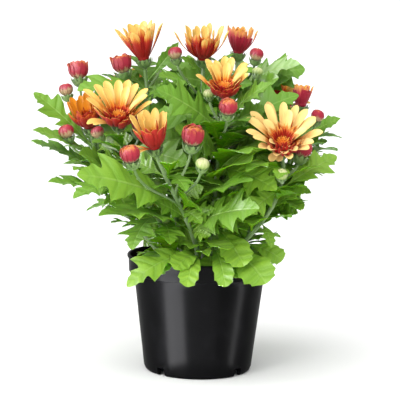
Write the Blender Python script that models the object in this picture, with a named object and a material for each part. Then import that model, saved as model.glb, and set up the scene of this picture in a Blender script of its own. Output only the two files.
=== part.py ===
"""Pot chrysanthemum: a black plastic nursery pot, its potting soil, and twelve leafy flowering shoots.

Metres, +Z up. The origin is the middle of the pot's underside, where its centre foot meets the ground,
and -Y is the front. Each shoot is one green solid with its leaves, side stalks and bract cups.
Blooms, the dense middles of the open blooms, and buds are solids of their own, seated on those cups.
"""

import math
from dataclasses import dataclass, field

import bmesh
import bpy
from mathutils import Matrix, Vector
from mathutils.bvhtree import BVHTree

MM = 0.001
UP = Vector((0, 0, 1))
GOLDEN_ANGLE = math.radians(137.508)
SHARP_ANGLE = math.radians(35)

# The pot
POT_HEIGHT = 104 * MM
RIM_RADIUS = 65 * MM
COLLAR_HEIGHT = 16 * MM
COLLAR_TAPER = 1.6 * MM
WALL_TOP_RADIUS = 58.8 * MM
FOOT_RADIUS = 47.4 * MM
INNER_FOOT_RADIUS = 47.2 * MM
WALL = 1.4 * MM
FLOOR_LEVEL = 4.5 * MM
CENTRE_FOOT_RADIUS = 10 * MM
POT_SIDES = 32
DRAIN_COUNT = 4
DRAIN_TURN = math.radians(48)  # the first drain, from the front
DRAIN_WIDTH = 8 * MM
DRAIN_HEIGHT = 7 * MM
DRAIN_DEPTH = 16 * MM

# The soil
SOIL_LEVEL = 87 * MM
SOIL_RELIEF = 1.6 * MM
SOIL_SIDES = 18
SOIL_GAP = 0.3 * MM  # to the pot and to the stems
HOLE_SIDES = 8
HOLE_RINGS = 3
PLANTING_DEPTH = 22 * MM

# Stems and stalks
STEM_FOOT_RADIUS = 2.5 * MM
STEM_NECK_RADIUS = 1.5 * MM
STEM_SIDES = 6
STEM_PIECES = 5
STALK_RADIUS = 1.1 * MM
BODY_TURNS = [0.13 * i for i in range(12)]  # tried in turn, in radians or in facets

# Bract cups, blooms and buds
BLOOM_CUP_WIDTH = 11 * MM
BLOOM_CUP_HEIGHT = 6 * MM
SEAT_GAP = 0.3 * MM  # between a bloom or bud and its cup
SEAT_HOLLOW = 0.9  # height of the middle of a cup, as a share of its rim's
BLOOM_FLOOR = 3.9 * MM  # the middle of a bloom, above its seat
PETAL_THICKNESS = 0.7 * MM
PETAL_WIDTH = 6.6 * MM
PETAL_WIDEST = 0.74  # where a petal is widest, as a share of its length

# Leaves
BLADE_THICKNESS = 0.7 * MM
LEAF_ROOM = 0.7 * MM  # a leaf keeps this clear of its neighbours on each side
LEAF_FOLD = math.radians(14)
LEAF_CUP = 0.5
LEAF_LENGTHS = (1, 0.82, 0.66)
LEAF_SWING = 0.042
CHOSEN_TRIES = 40
RULED_TRIES = 120

# The crown of leaves
CROWN_RADIUS = 125 * MM
CROWN_MIDDLE = 225 * MM
CROWN_HALF_HEIGHT = 120 * MM


def spot(x, y, z):
    """A place given in millimetres."""
    return Vector((x, y, z)) * MM


@dataclass
class Bud:
    """A closed or opening bud on its side stalk: how far up the shoot, where its foot is, and its size."""

    at: float
    foot: Vector
    width: float = 15.0
    red: bool = True


@dataclass
class Leaf:
    """A leaf: how far up the shoot, its tip, what its upper side faces, and its outline."""

    at: float
    tip: Vector
    face: tuple = (0, -0.5, 0.85)
    arch: float = 45.0
    kind: str = "lobed"
    width: float = 1.0


@dataclass
class Shoot:
    """A leafy stem from its root in the soil, past two guide points, to the foot of its bloom."""

    name: str
    root: tuple
    guide: tuple
    foot: Vector
    facing: tuple
    spread: tuple  # petal angle from the bloom's axis, at its foot and at its tip, in degrees
    reach: float  # petal length in millimetres
    petals: int
    open: bool = False
    buds: list = field(default_factory=list)
    leaves: list = field(default_factory=list)
    rule_leaves: tuple = (0, 0)  # number of leaves set by the rule, and the first one's bearing


SHOOTS = [
    Shoot(
        "left_high", (-13, 9), ((-20, 12, 150), (-50, 10, 228)), spot(-52, 10, 271),
        (-0.18, -0.1, 1), (22, 32), 34, 14,
        buds=[Bud(0.72, spot(-69, 5, 260), 17), Bud(0.84, spot(-37, 22, 272), 9, False)],
        leaves=[
            Leaf(0.80, spot(-109, -27, 250), (-0.1, -0.5, 0.85), 60),
            Leaf(0.90, spot(-22, 5, 293), (0.3, -0.9, 0.2), 15, "narrow", 0.8),
            Leaf(0.70, spot(-92, 28, 262), (-0.3, 0.3, 0.9), 50),
            Leaf(0.84, spot(-32, -15, 245), (0.1, -0.8, 0.6), 40),
            Leaf(0.60, spot(-21, -10, 218), (0, -0.8, 0.6), 50),
            Leaf(0.78, spot(-69, -25, 261), (-0.1, -0.7, 0.7), 45),
        ],
        rule_leaves=(8, 150),
    ),
    Shoot(
        "left", (-22, 1), ((-48, -4, 122), (-92, -16, 164)), spot(-97, -20, 213),
        (-0.22, -0.35, 0.9), (16, 44), 29, 14,
        buds=[
            Bud(0.74, spot(-109, -2, 254), 17),
            Bud(0.84, spot(-119, -8, 241), 12),
            Bud(0.80, spot(-115, -32, 206), 13),
        ],
        leaves=[
            Leaf(0.90, spot(-149, -10, 247), (-0.2, -0.45, 0.85), 20, "lobed", 0.8),
            Leaf(0.84, spot(-137, -47, 228), (-0.3, -0.4, 0.85), 25, "narrow", 1.1),
            Leaf(0.73, spot(-149, -32, 206), (-0.2, -0.35, 0.9), 25, "lobed", 0.85),
            Leaf(0.53, spot(-132, -48, 172), (-0.25, -0.45, 0.9), 40, "lobed", 0.9),
            Leaf(0.60, spot(-118, 30, 190), (-0.5, 0.3, 0.8), 50),
            Leaf(0.64, spot(-104, -72, 200), (0.1, -0.7, 0.7), 50, "narrow", 1.2),
            Leaf(0.58, spot(-102, 5, 217), (-0.2, -0.7, 0.7), 45),
            Leaf(0.25, spot(-41, -10, 125), (0, -0.8, 0.6), 50),
        ],
        rule_leaves=(6, 100),
    ),
    Shoot(
        "front_left", (-14, -12), ((-26, -26, 130), (-66, -42, 176)), spot(-72, -48, 219),
        (0.05, -0.5, 0.87), (38, 60), 36, 18, open=True,
        buds=[Bud(0.84, spot(-87, -40, 208), 11), Bud(0.78, spot(-55, -36, 211), 16)],
        leaves=[
            Leaf(0.62, spot(-107, -84, 167), (-0.3, -0.5, 0.85), 45, "lobed", 0.9),
            Leaf(0.40, spot(-57, -88, 121), (-0.3, -0.8, 0.5), 60, "lobed", 0.95),
            Leaf(0.80, spot(-92, -86, 211), (-0.1, -0.4, 0.9), 40, "narrow"),
            Leaf(0.72, spot(-110, -52, 193), (-0.3, -0.4, 0.85), 40, "narrow"),
        ],
        rule_leaves=(8, 60),
    ),
    Shoot(
        "front", (0, -19), ((3, -38, 126), (-26, -70, 166)), spot(-38, -84, 202),
        (-0.16, -0.36, 0.92), (14, 36), 31, 14,
        buds=[
            Bud(0.56, spot(-56, -99, 192), 16),
            Bud(0.66, spot(-9, -88, 205), 18),
            Bud(0.60, spot(0, -96, 190), 11, False),
        ],
        leaves=[
            Leaf(0.58, spot(-102, -116, 187), (-0.12, -0.75, 0.65), 35, "lobed", 1.0),
            Leaf(0.36, spot(-84, -108, 152), (-0.15, -0.4, 0.9), 45, "lobed", 0.9),
            Leaf(0.50, spot(43, -102, 183), (0.1, -0.35, 0.9), 40, "lobed", 0.85),
            Leaf(0.40, spot(49, -104, 160), (0.05, -0.75, 0.65), 35, "lobed", 0.95),
            Leaf(0.16, spot(-61, -82, 88), (-0.25, -0.8, 0.6), 75, "lobed", 0.72),
            Leaf(0.08, spot(-8, -98, 90), (-0.1, -0.9, 0.5), 85, "spoon", 0.7),
            Leaf(0.28, spot(24, -86, 122), (0, -0.3, 0.95), 30, "spoon", 0.9),
        ],
        rule_leaves=(4, 260),
    ),
    Shoot(
        "middle_high", (-2, 13), ((-2, 16, 150), (0, 16, 220)), spot(0, 15, 272),
        (-0.02, -0.2, 0.98), (28, 42), 33, 16,
        buds=[Bud(0.80, spot(-23, 0, 275), 12)],
        leaves=[
            Leaf(0.92, spot(-20, -10, 281), (0.2, -0.6, 0.75), 30, "narrow", 0.9),
            Leaf(0.82, spot(-38, -36, 264), (0, -0.5, 0.85), 45, "lobed", 0.9),
            Leaf(0.88, spot(27, 2, 284), (0.1, -0.4, 0.9), 30, "narrow"),
            Leaf(0.70, spot(-44, -24, 238), (0, -0.7, 0.7), 45),
            Leaf(0.46, spot(-42, -18, 170), (0, -0.8, 0.6), 50),
            Leaf(0.84, spot(44, -8, 258), (0.1, -0.7, 0.7), 45),
            Leaf(0.42, spot(-13, 5, 172), (0, -0.8, 0.6), 50),
            Leaf(0.76, spot(8, -12, 260), (0, -0.8, 0.6), 40),
        ],
        rule_leaves=(7, 20),
    ),
    Shoot(
        "right_high", (10, 15), ((12, 22, 150), (30, 42, 222)), spot(31, 44, 277),
        (0.12, -0.05, 1), (20, 30), 25, 14,
        buds=[Bud(0.80, spot(46, 12, 275), 12)],
        leaves=[
            Leaf(0.84, spot(86, 4, 276), (0.2, -0.6, 0.75), 30, "lobed", 0.9),
            Leaf(0.76, spot(76, 60, 262), (0.3, 0.3, 0.9), 50),
            Leaf(0.90, spot(2, 72, 276), (0, 0.4, 0.9), 45, "narrow"),
            Leaf(0.72, spot(74, -5, 262), (0.1, -0.8, 0.6), 45),
        ],
        rule_leaves=(8, 200),
    ),
    Shoot(
        "middle", (8, -3), ((10, -12, 140), (16, -42, 200)), spot(18, -44, 246),
        (0.02, -0.55, 0.84), (30, 52), 29, 17, open=True,
        buds=[
            Bud(0.74, spot(21, -76, 232), 15),
            Bud(0.82, spot(6, -46, 246), 9, False),
            Bud(0.80, spot(47, -10, 264), 9, False),
        ],
        leaves=[
            Leaf(0.80, spot(-39, -76, 256), (-0.1, -0.75, 0.6), 35, "lobed", 1.0),
            Leaf(0.70, spot(-6, -96, 229), (-0.1, -0.5, 0.85), 45, "narrow"),
            Leaf(0.84, spot(59, -62, 262), (0.15, -0.5, 0.85), 35, "lobed", 0.9),
            Leaf(0.76, spot(84, -22, 250), (0.1, -0.4, 0.9), 35, "lobed", 0.9),
            Leaf(0.56, spot(37, -106, 211), (0.05, -0.45, 0.85), 45, "lobed", 0.9),
            Leaf(0.52, spot(-42, -44, 204), (-0.1, -0.75, 0.65), 45),
            Leaf(0.50, spot(56, -46, 186), (0.1, -0.75, 0.65), 45),
            Leaf(0.60, spot(44, -20, 201), (0.1, -0.75, 0.65), 45),
            Leaf(0.45, spot(53, -30, 183), (0.1, -0.75, 0.65), 45),
            Leaf(0.26, spot(38, -78, 107), (0.1, -0.8, 0.6), 55, "spoon", 0.9),
            Leaf(0.14, spot(22, -90, 96), (0.1, -0.85, 0.5), 65, "spoon", 0.8),
        ],
        rule_leaves=(5, 30),
    ),
    Shoot(
        "front_right", (17, -13), ((32, -26, 122), (80, -56, 152)), spot(69, -56, 202),
        (0, -0.7, 0.72), (42, 66), 37, 20, open=True,
        buds=[Bud(0.82, spot(84, -46, 193), 16), Bud(0.84, spot(68, -80, 182), 10, False)],
        leaves=[
            Leaf(0.76, spot(118, -32, 198), (0.15, -0.6, 0.75), 25, "lobed", 0.95),
            Leaf(0.60, spot(90, -52, 170), (0.2, -0.5, 0.85), 40, "lobed", 0.9),
            Leaf(0.86, spot(38, -96, 190), (-0.2, -0.3, 0.9), 75, "lobed", 0.85),
            Leaf(0.90, spot(62, -98, 190), (0.1, -0.4, 0.9), 40, "narrow"),
            Leaf(0.50, spot(62, -58, 120), (0.3, -0.8, 0.5), 60, "narrow", 1.2),
            Leaf(0.30, spot(72, -50, 108), (0.2, -0.75, 0.65), 60, "spoon", 1.1),
            Leaf(0.16, spot(45, -84, 86), (0.1, -0.8, 0.6), 80, "spoon", 1.1),
        ],
        rule_leaves=(4, 80),
    ),
    Shoot(
        "right", (23, 4), ((42, 2, 128), (86, -4, 174)), spot(87, 0, 233),
        (0.06, -0.1, 1), (12, 18), 18, 12,
        buds=[Bud(0.84, spot(99, -26, 225), 11)],
        leaves=[
            Leaf(0.84, spot(122, -16, 230), (0.1, -0.6, 0.8), 20, "narrow", 1.1),
            Leaf(0.60, spot(96, -12, 176), (0.2, -0.4, 0.9), 35, "lobed", 0.9),
            Leaf(0.72, spot(124, 34, 196), (0.4, 0.3, 0.85), 45),
            Leaf(0.54, spot(52, -40, 172), (0, -0.8, 0.6), 50),
            Leaf(0.36, spot(80, 18, 138), (0.5, 0.1, 0.85), 60),
        ],
        rule_leaves=(6, 330),
    ),
    Shoot(
        "back_left", (-13, 24), ((-26, 34, 130), (-60, 66, 186)), spot(-62, 72, 228),
        (-0.35, 0.5, 0.8), (38, 58), 32, 17, open=True,
        buds=[Bud(0.76, spot(-94, 50, 222), 14), Bud(0.80, spot(-34, 100, 218), 15)],
        rule_leaves=(10, 40),
    ),
    Shoot(
        "back", (3, 27), ((4, 44, 130), (4, 92, 168)), spot(5, 96, 218),
        (0.05, 0.6, 0.8), (18, 38), 30, 14,
        buds=[Bud(0.78, spot(32, 114, 206), 14)],
        rule_leaves=(9, 10),
    ),
    Shoot(
        "back_right", (19, 21), ((34, 32, 130), (64, 66, 180)), spot(64, 68, 226),
        (0.35, 0.45, 0.82), (38, 60), 32, 17, open=True,
        buds=[Bud(0.80, spot(100, 50, 210), 14)],
        rule_leaves=(10, 300),
    ),
]

# Half outlines of a leaf: along the midrib and out from it, as shares of the leaf's length
HALF_OUTLINES = {
    "lobed": [(0, 0.016), (0.24, 0.022), (0.46, 0.21), (0.57, 0.13), (0.78, 0.24), (1, 0)],
    "spoon": [(0, 0.016), (0.3, 0.026), (0.62, 0.17), (0.86, 0.2), (1, 0)],
    "narrow": [(0, 0.02), (0.26, 0.03), (0.6, 0.18), (1, 0)],
}
MIDRIBS = {
    "lobed": [0.24, 0.62, 1],
    "spoon": [0.3, 0.66, 1],
    "narrow": [0.26, 0.6, 1],
}


class Path:
    """A cubic Bezier curve."""

    def __init__(self, *points):
        self.points = [Vector(p) for p in points]

    def at(self, t):
        """The place at share t of the curve."""
        a, b, c, d = self.points
        s = 1 - t
        return a * s**3 + b * (3 * s * s * t) + c * (3 * s * t * t) + d * t**3

    def heading(self, t):
        """The direction at share t of the curve."""
        a, b, c, d = self.points
        s = 1 - t
        return ((b - a) * (s * s) + (c - b) * (2 * s * t) + (d - c) * (t * t)).normalized()

    def samples(self, count):
        """Evenly spaced places from the curve's start to its end."""
        return [self.at(i / count) for i in range(count + 1)]


def main_path(shoot):
    """The stem's path, from the soil to the foot of the bract cup."""
    root = spot(*shoot.root, 0) + UP * SOIL_LEVEL
    return Path(root, *(spot(*place) for place in shoot.guide), shoot.foot)


def bud_axis(stem, bud):
    """A bud looks up and out, away from its stem."""
    out = (bud.foot - stem.at(bud.at)).normalized()
    return (out * 0.5 + UP * 0.8).normalized()


def stalk_path(stem, bud):
    """A side stalk's path: it leaves the stem at an acute angle and turns up to the bud."""
    start = stem.at(bud.at)
    run = bud.foot - start
    leave = (stem.heading(bud.at) + run.normalized() * 1.6).normalized()
    bend = run.length * 0.35
    return Path(start, start + leave * bend, bud.foot - bud_axis(stem, bud) * bend, bud.foot)


@dataclass
class Head:
    """The bract cup under a bloom or bud: its foot, its axis and its size."""

    foot: Vector
    axis: Vector
    width: float
    height: float

    def standing_at(self, lift):
        """The matrix of something that stands on the cup's axis, lifted this far above the cup's foot."""
        turn = UP.rotation_difference(self.axis).to_matrix().to_4x4()
        return Matrix.Translation(self.foot + self.axis * lift) @ turn

    @property
    def cup(self):
        """Where the cup stands."""
        return self.standing_at(0)

    @property
    def seat(self):
        """Where the bloom or bud stands, just clear of the hollow in the cup."""
        return self.standing_at(self.height * SEAT_HOLLOW + SEAT_GAP)


def bloom_head(shoot):
    """The cup of a shoot's bloom."""
    return Head(shoot.foot, Vector(shoot.facing).normalized(), BLOOM_CUP_WIDTH, BLOOM_CUP_HEIGHT)


def bud_head(stem, bud):
    """The cup of a bud, in proportion to it."""
    width = bud.width * MM
    return Head(bud.foot, bud_axis(stem, bud), width * 0.74, width * 0.34)


class Blade:
    """A leaf blade's surface: it arches from base to tip, and its halves fold up along the midrib."""

    def __init__(self, base, tip, leaf):
        chord = tip - base
        face = Vector(leaf.face)
        self.base = base
        self.along = chord.normalized()
        self.normal = (face - self.along * face.dot(self.along)).normalized()
        self.side = self.along.cross(self.normal)
        self.arch = math.radians(leaf.arch)
        self.radius = chord.length / (2 * math.sin(self.arch / 2))
        self.length = self.radius * self.arch
        self.width = leaf.width

    def point(self, share, out):
        """The surface point at a share of the length and out to the side, as a share of the length."""
        half = self.arch / 2
        turn = self.arch * share - half
        spine = self.along * (math.sin(turn) + math.sin(half))
        spine += self.normal * (math.cos(turn) - math.cos(half))
        lift = self.normal * math.cos(turn) + self.along * math.sin(turn)
        out *= self.width
        rise = abs(out) * math.sin(LEAF_FOLD) - LEAF_CUP * out * out
        across = self.side * out * math.cos(LEAF_FOLD) + lift * rise
        return self.base + spine * self.radius + across * self.length


def blades(base, leaf, tries):
    """A leaf's blade as laid out, then swung ever further round its base, and then shorter."""
    chord = leaf.tip - base
    across = chord.cross(Vector(leaf.face)).normalized()
    for length in LEAF_LENGTHS:
        for step in range(tries):
            swing = LEAF_SWING * math.sqrt(step)
            bearing = GOLDEN_ANGLE * step
            round_stem = Matrix.Rotation(swing * math.cos(bearing), 3, UP)
            up_or_down = Matrix.Rotation(swing * math.sin(bearing), 3, across)
            yield Blade(base, base + up_or_down @ round_stem @ chord * length, leaf)


def crown_radius(height):
    """How far out the crown of leaves reaches at a height: least above the pot, most near the blooms."""
    share = (height - CROWN_MIDDLE) / CROWN_HALF_HEIGHT
    return CROWN_RADIUS * math.sqrt(max(1 - share * share, 0.28))


def ruled_leaves(shoot, stem):
    """Leaves round a stem at the golden angle, smaller towards the bloom, each facing up and out."""
    count, first = shoot.rule_leaves
    for k in range(count):
        at = 0.12 + 0.76 * (k + 0.5) / count
        base = stem.at(at)
        bearing = math.radians(first) + GOLDEN_ANGLE * k
        away = Vector((math.cos(bearing), math.sin(bearing), 0)) + base.xy.to_3d() / (60 * MM)
        out = away.normalized()
        tip = base + (out + UP * (0.05 + 0.5 * at)).normalized() * (74 - 34 * at) * MM
        tip -= out * max(tip.xy.length - crown_radius(tip.z), 0)
        yield Leaf(at, tip, out * 0.7 + UP * 0.75, 58, "lobed" if at < 0.7 else "narrow")


def stitch(bm, left, right):
    """Fills the strip between two rows of (share, vertex) that both run from the base to the tip."""
    i = j = 0
    while i < len(left) - 1 or j < len(right) - 1:
        on_left = j == len(right) - 1 or (i < len(left) - 1 and left[i + 1][0] <= right[j + 1][0])
        corners = (left[i][1], right[j][1], left[i + 1][1] if on_left else right[j + 1][1])
        if len(set(corners)) == 3:
            bm.faces.new(corners)
        i, j = (i + 1, j) if on_left else (i, j + 1)


def leaf_mesh(blade, kind, spare=0.0):
    """A leaf as a closed blade of even thickness. With room to spare, it is thicker and wider all round."""
    bm = bmesh.new()
    grown = 1.04 if spare else 1
    rib = [(share, bm.verts.new(blade.point(share * grown, 0))) for share in MIDRIBS[kind]]
    margins = []
    for side in (1, -1):
        margin = []
        for share, out in HALF_OUTLINES[kind][:-1]:
            margin.append((share, bm.verts.new(blade.point(share * grown, side * out * grown))))
        margins.append(margin + rib[-1:])
    bm.faces.new((margins[0][0][1], rib[0][1], margins[1][0][1]))
    stitch(bm, rib, margins[0])
    stitch(bm, margins[1], rib)
    bmesh.ops.recalc_face_normals(bm, faces=bm.faces)
    bm.normal_update()
    for vert in bm.verts:
        vert.co += vert.normal * spare
    bmesh.ops.solidify(bm, geom=bm.faces[:], thickness=BLADE_THICKNESS + 2 * spare)
    bmesh.ops.recalc_face_normals(bm, faces=bm.faces)
    return bm


def turned(profile, sides, relief=None, phase=0.0):
    """A solid turned from (radius, height) points, with its two ends on the axis.

    relief gives each corner's scale of the radius and its lift, from its row and its number round the axis.
    """
    bm = bmesh.new()
    rings = []
    for row, (radius, height) in enumerate(profile):
        ring = []
        for k in range(sides if radius else 1):
            scale, lift = relief(row, k) if relief else (1, 0)
            angle = 2 * math.pi * (k + phase) / sides
            reach = radius * scale
            ring.append(bm.verts.new((reach * math.cos(angle), reach * math.sin(angle), height + lift)))
        rings.append(ring)
    for low, high in zip(rings, rings[1:]):
        for k in range(sides):
            after = (k + 1) % sides
            lower = (low[k % len(low)], low[after % len(low)])
            upper = (high[after % len(high)], high[k % len(high)])
            bm.faces.new(dict.fromkeys(lower + upper))
    bmesh.ops.recalc_face_normals(bm, faces=bm.faces)
    return bm


def as_object(name, bm, matrix=None, collection=None):
    """Makes a smoothly shaded mesh object from a bmesh, and puts it where the matrix says."""
    mesh = bpy.data.meshes.new(name)
    bm.to_mesh(mesh)
    bm.free()
    mesh.shade_smooth()
    mesh.set_sharp_from_angle(angle=SHARP_ANGLE)
    made = bpy.data.objects.new(name, mesh)
    (collection or bpy.context.scene.collection).objects.link(made)
    if matrix is not None:
        made.matrix_world = matrix
    return made


def evaluated_mesh(made):
    """A copy of the object's mesh with its modifiers applied."""
    bpy.context.view_layer.update()
    return bpy.data.meshes.new_from_object(made.evaluated_get(bpy.context.evaluated_depsgraph_get()))


def tube(name, points, radii, sides, turn=0.0, collection=None):
    """A stem through the points: a bevelled curve with filled caps, made a closed mesh."""
    curve = bpy.data.curves.new(name, "CURVE")
    curve.dimensions = "3D"
    curve.bevel_depth = 1
    curve.bevel_resolution = (sides - 4) // 2
    curve.use_fill_caps = True
    line = curve.splines.new("POLY")
    line.points.add(len(points) - 1)
    for point, place, radius in zip(line.points, points, radii):
        point.co = (*place, 1)
        point.radius = radius
        point.tilt = turn
    guide = bpy.data.objects.new(name, curve)
    bpy.context.scene.collection.objects.link(guide)
    bm = bmesh.new()
    bm.from_mesh(evaluated_mesh(guide))
    bpy.data.objects.remove(guide)
    bmesh.ops.remove_doubles(bm, verts=bm.verts, dist=0.001 * MM)
    bmesh.ops.recalc_face_normals(bm, faces=bm.faces)
    return as_object(name, bm, collection=collection)


def combined(body, operation, others):
    """The body after one Boolean with all of the collection's solids, as triangles."""
    boolean = body.modifiers.new(operation, "BOOLEAN")
    boolean.operation = operation
    boolean.operand_type = "COLLECTION"
    boolean.collection = others
    boolean.solver = "EXACT"
    bm = bmesh.new()
    bm.from_mesh(evaluated_mesh(body))
    bmesh.ops.triangulate(bm, faces=bm.faces)
    return bm


def is_closed(bm):
    """True if every edge joins exactly two faces."""
    return all(len(edge.link_faces) == 2 for edge in bm.edges)


def first_closed(name, make_body, operation, others):
    """Turns the body's corners round until its Boolean with the others is closed. The others are removed."""
    for turn in BODY_TURNS:
        body = make_body(turn)
        bm = combined(body, operation, others)
        bpy.data.objects.remove(body)
        if is_closed(bm):
            break
    for used in list(others.objects):
        bpy.data.objects.remove(used)
    bpy.data.collections.remove(others)
    return as_object(name, bm)


def new_collection(name):
    """An empty collection in the scene."""
    made = bpy.data.collections.new(name)
    bpy.context.scene.collection.children.link(made)
    return made


def material(name, colour, roughness):
    """A plain Principled material."""
    made = bpy.data.materials.new(name)
    made.use_nodes = True
    shader = made.node_tree.nodes["Principled BSDF"]
    shader.inputs["Base Color"].default_value = (*colour, 1)
    shader.inputs["Roughness"].default_value = roughness
    shader.inputs["Metallic"].default_value = 0
    return made


def make_pot():
    """The nursery pot: tapered wall, stepped collar, foot ring with drain notches, and a centre foot."""
    collar_foot = POT_HEIGHT - COLLAR_HEIGHT
    profile = [
        (0, 0),
        (CENTRE_FOOT_RADIUS, 0),
        (CENTRE_FOOT_RADIUS + 1 * MM, FLOOR_LEVEL),
        (FOOT_RADIUS - 3.6 * MM, FLOOR_LEVEL),
        (FOOT_RADIUS - 2.8 * MM, 0),
        (FOOT_RADIUS, 0),
        (FOOT_RADIUS + 1.2 * MM, 3 * MM),
        (WALL_TOP_RADIUS, collar_foot - 1 * MM),
        (RIM_RADIUS - COLLAR_TAPER, collar_foot + 1 * MM),
        (RIM_RADIUS, POT_HEIGHT - 1 * MM),
        (RIM_RADIUS - COLLAR_TAPER, POT_HEIGHT),
        (RIM_RADIUS - COLLAR_TAPER - WALL, collar_foot + 2.4 * MM),
        (WALL_TOP_RADIUS - WALL, collar_foot + 0.4 * MM),
        (INNER_FOOT_RADIUS, FLOOR_LEVEL + WALL),
        (0, FLOOR_LEVEL + WALL),
    ]
    drains = new_collection("drains")
    for k in range(DRAIN_COUNT):
        bearing = DRAIN_TURN + 2 * math.pi * k / DRAIN_COUNT - math.pi / 2
        bm = bmesh.new()
        bmesh.ops.create_cube(bm, size=1)
        bmesh.ops.scale(bm, vec=(DRAIN_DEPTH, DRAIN_WIDTH, 2 * DRAIN_HEIGHT), verts=bm.verts)
        place = Matrix.Rotation(bearing, 4, "Z") @ Matrix.Translation((FOOT_RADIUS - DRAIN_DEPTH / 8, 0, 0))
        as_object("drain_cutter", bm, place, drains)
    return first_closed(
        "pot", lambda turn: as_object("pot", turned(profile, POT_SIDES, phase=turn)), "DIFFERENCE", drains
    )


def pot_inner_radius(height):
    """The inner wall's least radius at a height between the floor and the collar, at a facet's middle."""
    low, high = FLOOR_LEVEL + WALL, POT_HEIGHT - COLLAR_HEIGHT
    share = (height - low) / (high - low)
    corner_radius = INNER_FOOT_RADIUS * (1 - share) + (WALL_TOP_RADIUS - WALL) * share
    return corner_radius * math.cos(math.pi / POT_SIDES)


def soil_block(turn=0.0):
    """The soil before its holes: it fills the pot to below the collar, with an uneven top."""
    floor = FLOOR_LEVEL + WALL + SOIL_GAP
    top = SOIL_LEVEL - 2 * MM
    foot, edge = (pot_inner_radius(height) - SOIL_GAP for height in (floor, top))
    profile = [(0, floor), (foot, floor)]
    profile += [(edge * share, top) for share in (1, 0.72, 0.38)]
    profile.append((0, top + 1 * MM))

    def clods(row, k):
        """Lumps in the soil's top rings."""
        if row < 3:
            return 1, 0
        return 1 + 0.06 * math.sin(5 * k + row), SOIL_RELIEF * (0.5 * math.sin(2.4 * k + 3 * row) + 0.4)

    return as_object("potting_soil", turned(profile, SOIL_SIDES, clods, turn))


def make_soil(stems):
    """The potting soil, with a plain hole for each stem."""
    holes = new_collection("holes")
    for stem in stems:
        points, radii = stem_samples(stem)
        wide = [(radius + SOIL_GAP) / math.cos(math.pi / HOLE_SIDES) for radius in radii]
        points[0] -= UP * SOIL_GAP
        tube("hole_cutter", points[:HOLE_RINGS], wide[:HOLE_RINGS], HOLE_SIDES, collection=holes)
    return first_closed("potting_soil", soil_block, "DIFFERENCE", holes)


def stem_samples(stem):
    """Points and radii along a stem, from its cut foot in the soil to its bloom's cup."""
    points = [stem.at(0) - UP * PLANTING_DEPTH, *stem.samples(STEM_PIECES)]
    thinning = (STEM_FOOT_RADIUS - STEM_NECK_RADIUS) / (len(points) - 1)
    return points, [STEM_FOOT_RADIUS - thinning * i for i in range(len(points))]


def bract_cup(head, sides):
    """The green cup of bracts under a bloom or bud, with a shallow hollow on top."""
    width, height = head.width, head.height
    profile = [(0, -2 * MM), (width * 0.43, height * 0.45), (width * 0.5, height), (0, height * SEAT_HOLLOW)]
    return turned(profile, sides)


def petal_rows(shoot):
    """The two rows of petals: for each, the root's radius and height, the petal angles, and the length."""
    root = 5.2 if shoot.open else 4.4
    first, last = shoot.spread
    yield root * MM, 1.6 * MM, (first, last), shoot.reach * MM
    yield (root - 1.5) * MM, 3.2 * MM, (first - 7, last - 9), shoot.reach * 0.88 * MM


def petal_corners(room, root, height, angles, reach, lift):
    """The left, right and tip corners of a strap petal that leans out along +X, lifted off its underside.

    room is the angle that the petal has between its neighbours.
    """
    place = Vector((root * math.cos(room / 2), 0, height))
    past = 0
    for share in (PETAL_WIDEST, 1):
        lean = math.radians(angles[0] + (angles[1] - angles[0]) * (share + past) / 2)
        place = place + Vector((math.sin(lean), 0, math.cos(lean))) * (share - past) * reach
        upper = place + Vector((-math.cos(lean), 0, math.sin(lean))) * lift
        past = share
        if share == 1:
            yield upper
        else:
            half = min(PETAL_WIDTH / 2, 0.87 * place.x * math.sin(room / 2))
            yield upper - Vector((0, half, 0))
            yield upper + Vector((0, half, 0))


def petal_row(bm, count, phase, root, height, angles, reach):
    """One row of strap petals, open at its root. Returns the outer and the inner ring of root vertices."""
    room = 2 * math.pi / count
    sheets = []
    for lift in (0, PETAL_THICKNESS):
        ring = []
        petals = []
        for k in range(count):
            start = Matrix.Rotation(room * (k + phase), 3, "Z")
            ring.append(bm.verts.new(start @ Vector((root - lift, 0, height))))
            middle = Matrix.Rotation(room * (k + phase + 0.5), 3, "Z")
            length = reach * (1 + 0.05 * math.sin(7.3 * (k + phase)))
            corners = petal_corners(room, root, height, angles, length, lift)
            petals.append([bm.verts.new(middle @ corner) for corner in corners])
        sheets.append((ring, petals))
    for k in range(count):
        rims = []
        for ring, petals in sheets:
            left, right, tip = petals[k]
            start, end = ring[k], ring[(k + 1) % count]
            bm.faces.new((start, end, right))
            bm.faces.new((start, right, left))
            bm.faces.new((left, right, tip))
            rims.append((start, left, tip, right, end))
        under, upper = rims
        for a, b, c, d in zip(under, under[1:], upper[1:], upper):
            bm.faces.new((a, b, c))
            bm.faces.new((a, c, d))
    return [ring for ring, petals in sheets]


def make_bloom(shoot):
    """A bloom: two rows of strap petals that rise from one closed base, as a single solid."""
    bm = bmesh.new()
    count = shoot.petals // 2
    rows = [petal_row(bm, count, 0.5 * i, *row) for i, row in enumerate(petal_rows(shoot))]
    (outer, joint), (inner, floor) = rows
    foot = bm.verts.new((0, 0, 0))
    middle = bm.verts.new((0, 0, BLOOM_FLOOR))
    for k in range(count):
        after = (k + 1) % count
        bm.faces.new((foot, outer[k], outer[after]))
        bm.faces.new((middle, floor[k], floor[after]))
        bm.faces.new((joint[k], joint[after], inner[k]))
        bm.faces.new((joint[after], inner[after], inner[k]))
    bmesh.ops.recalc_face_normals(bm, faces=bm.faces)
    return as_object("bloom_" + shoot.name, bm, bloom_head(shoot).seat)


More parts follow.
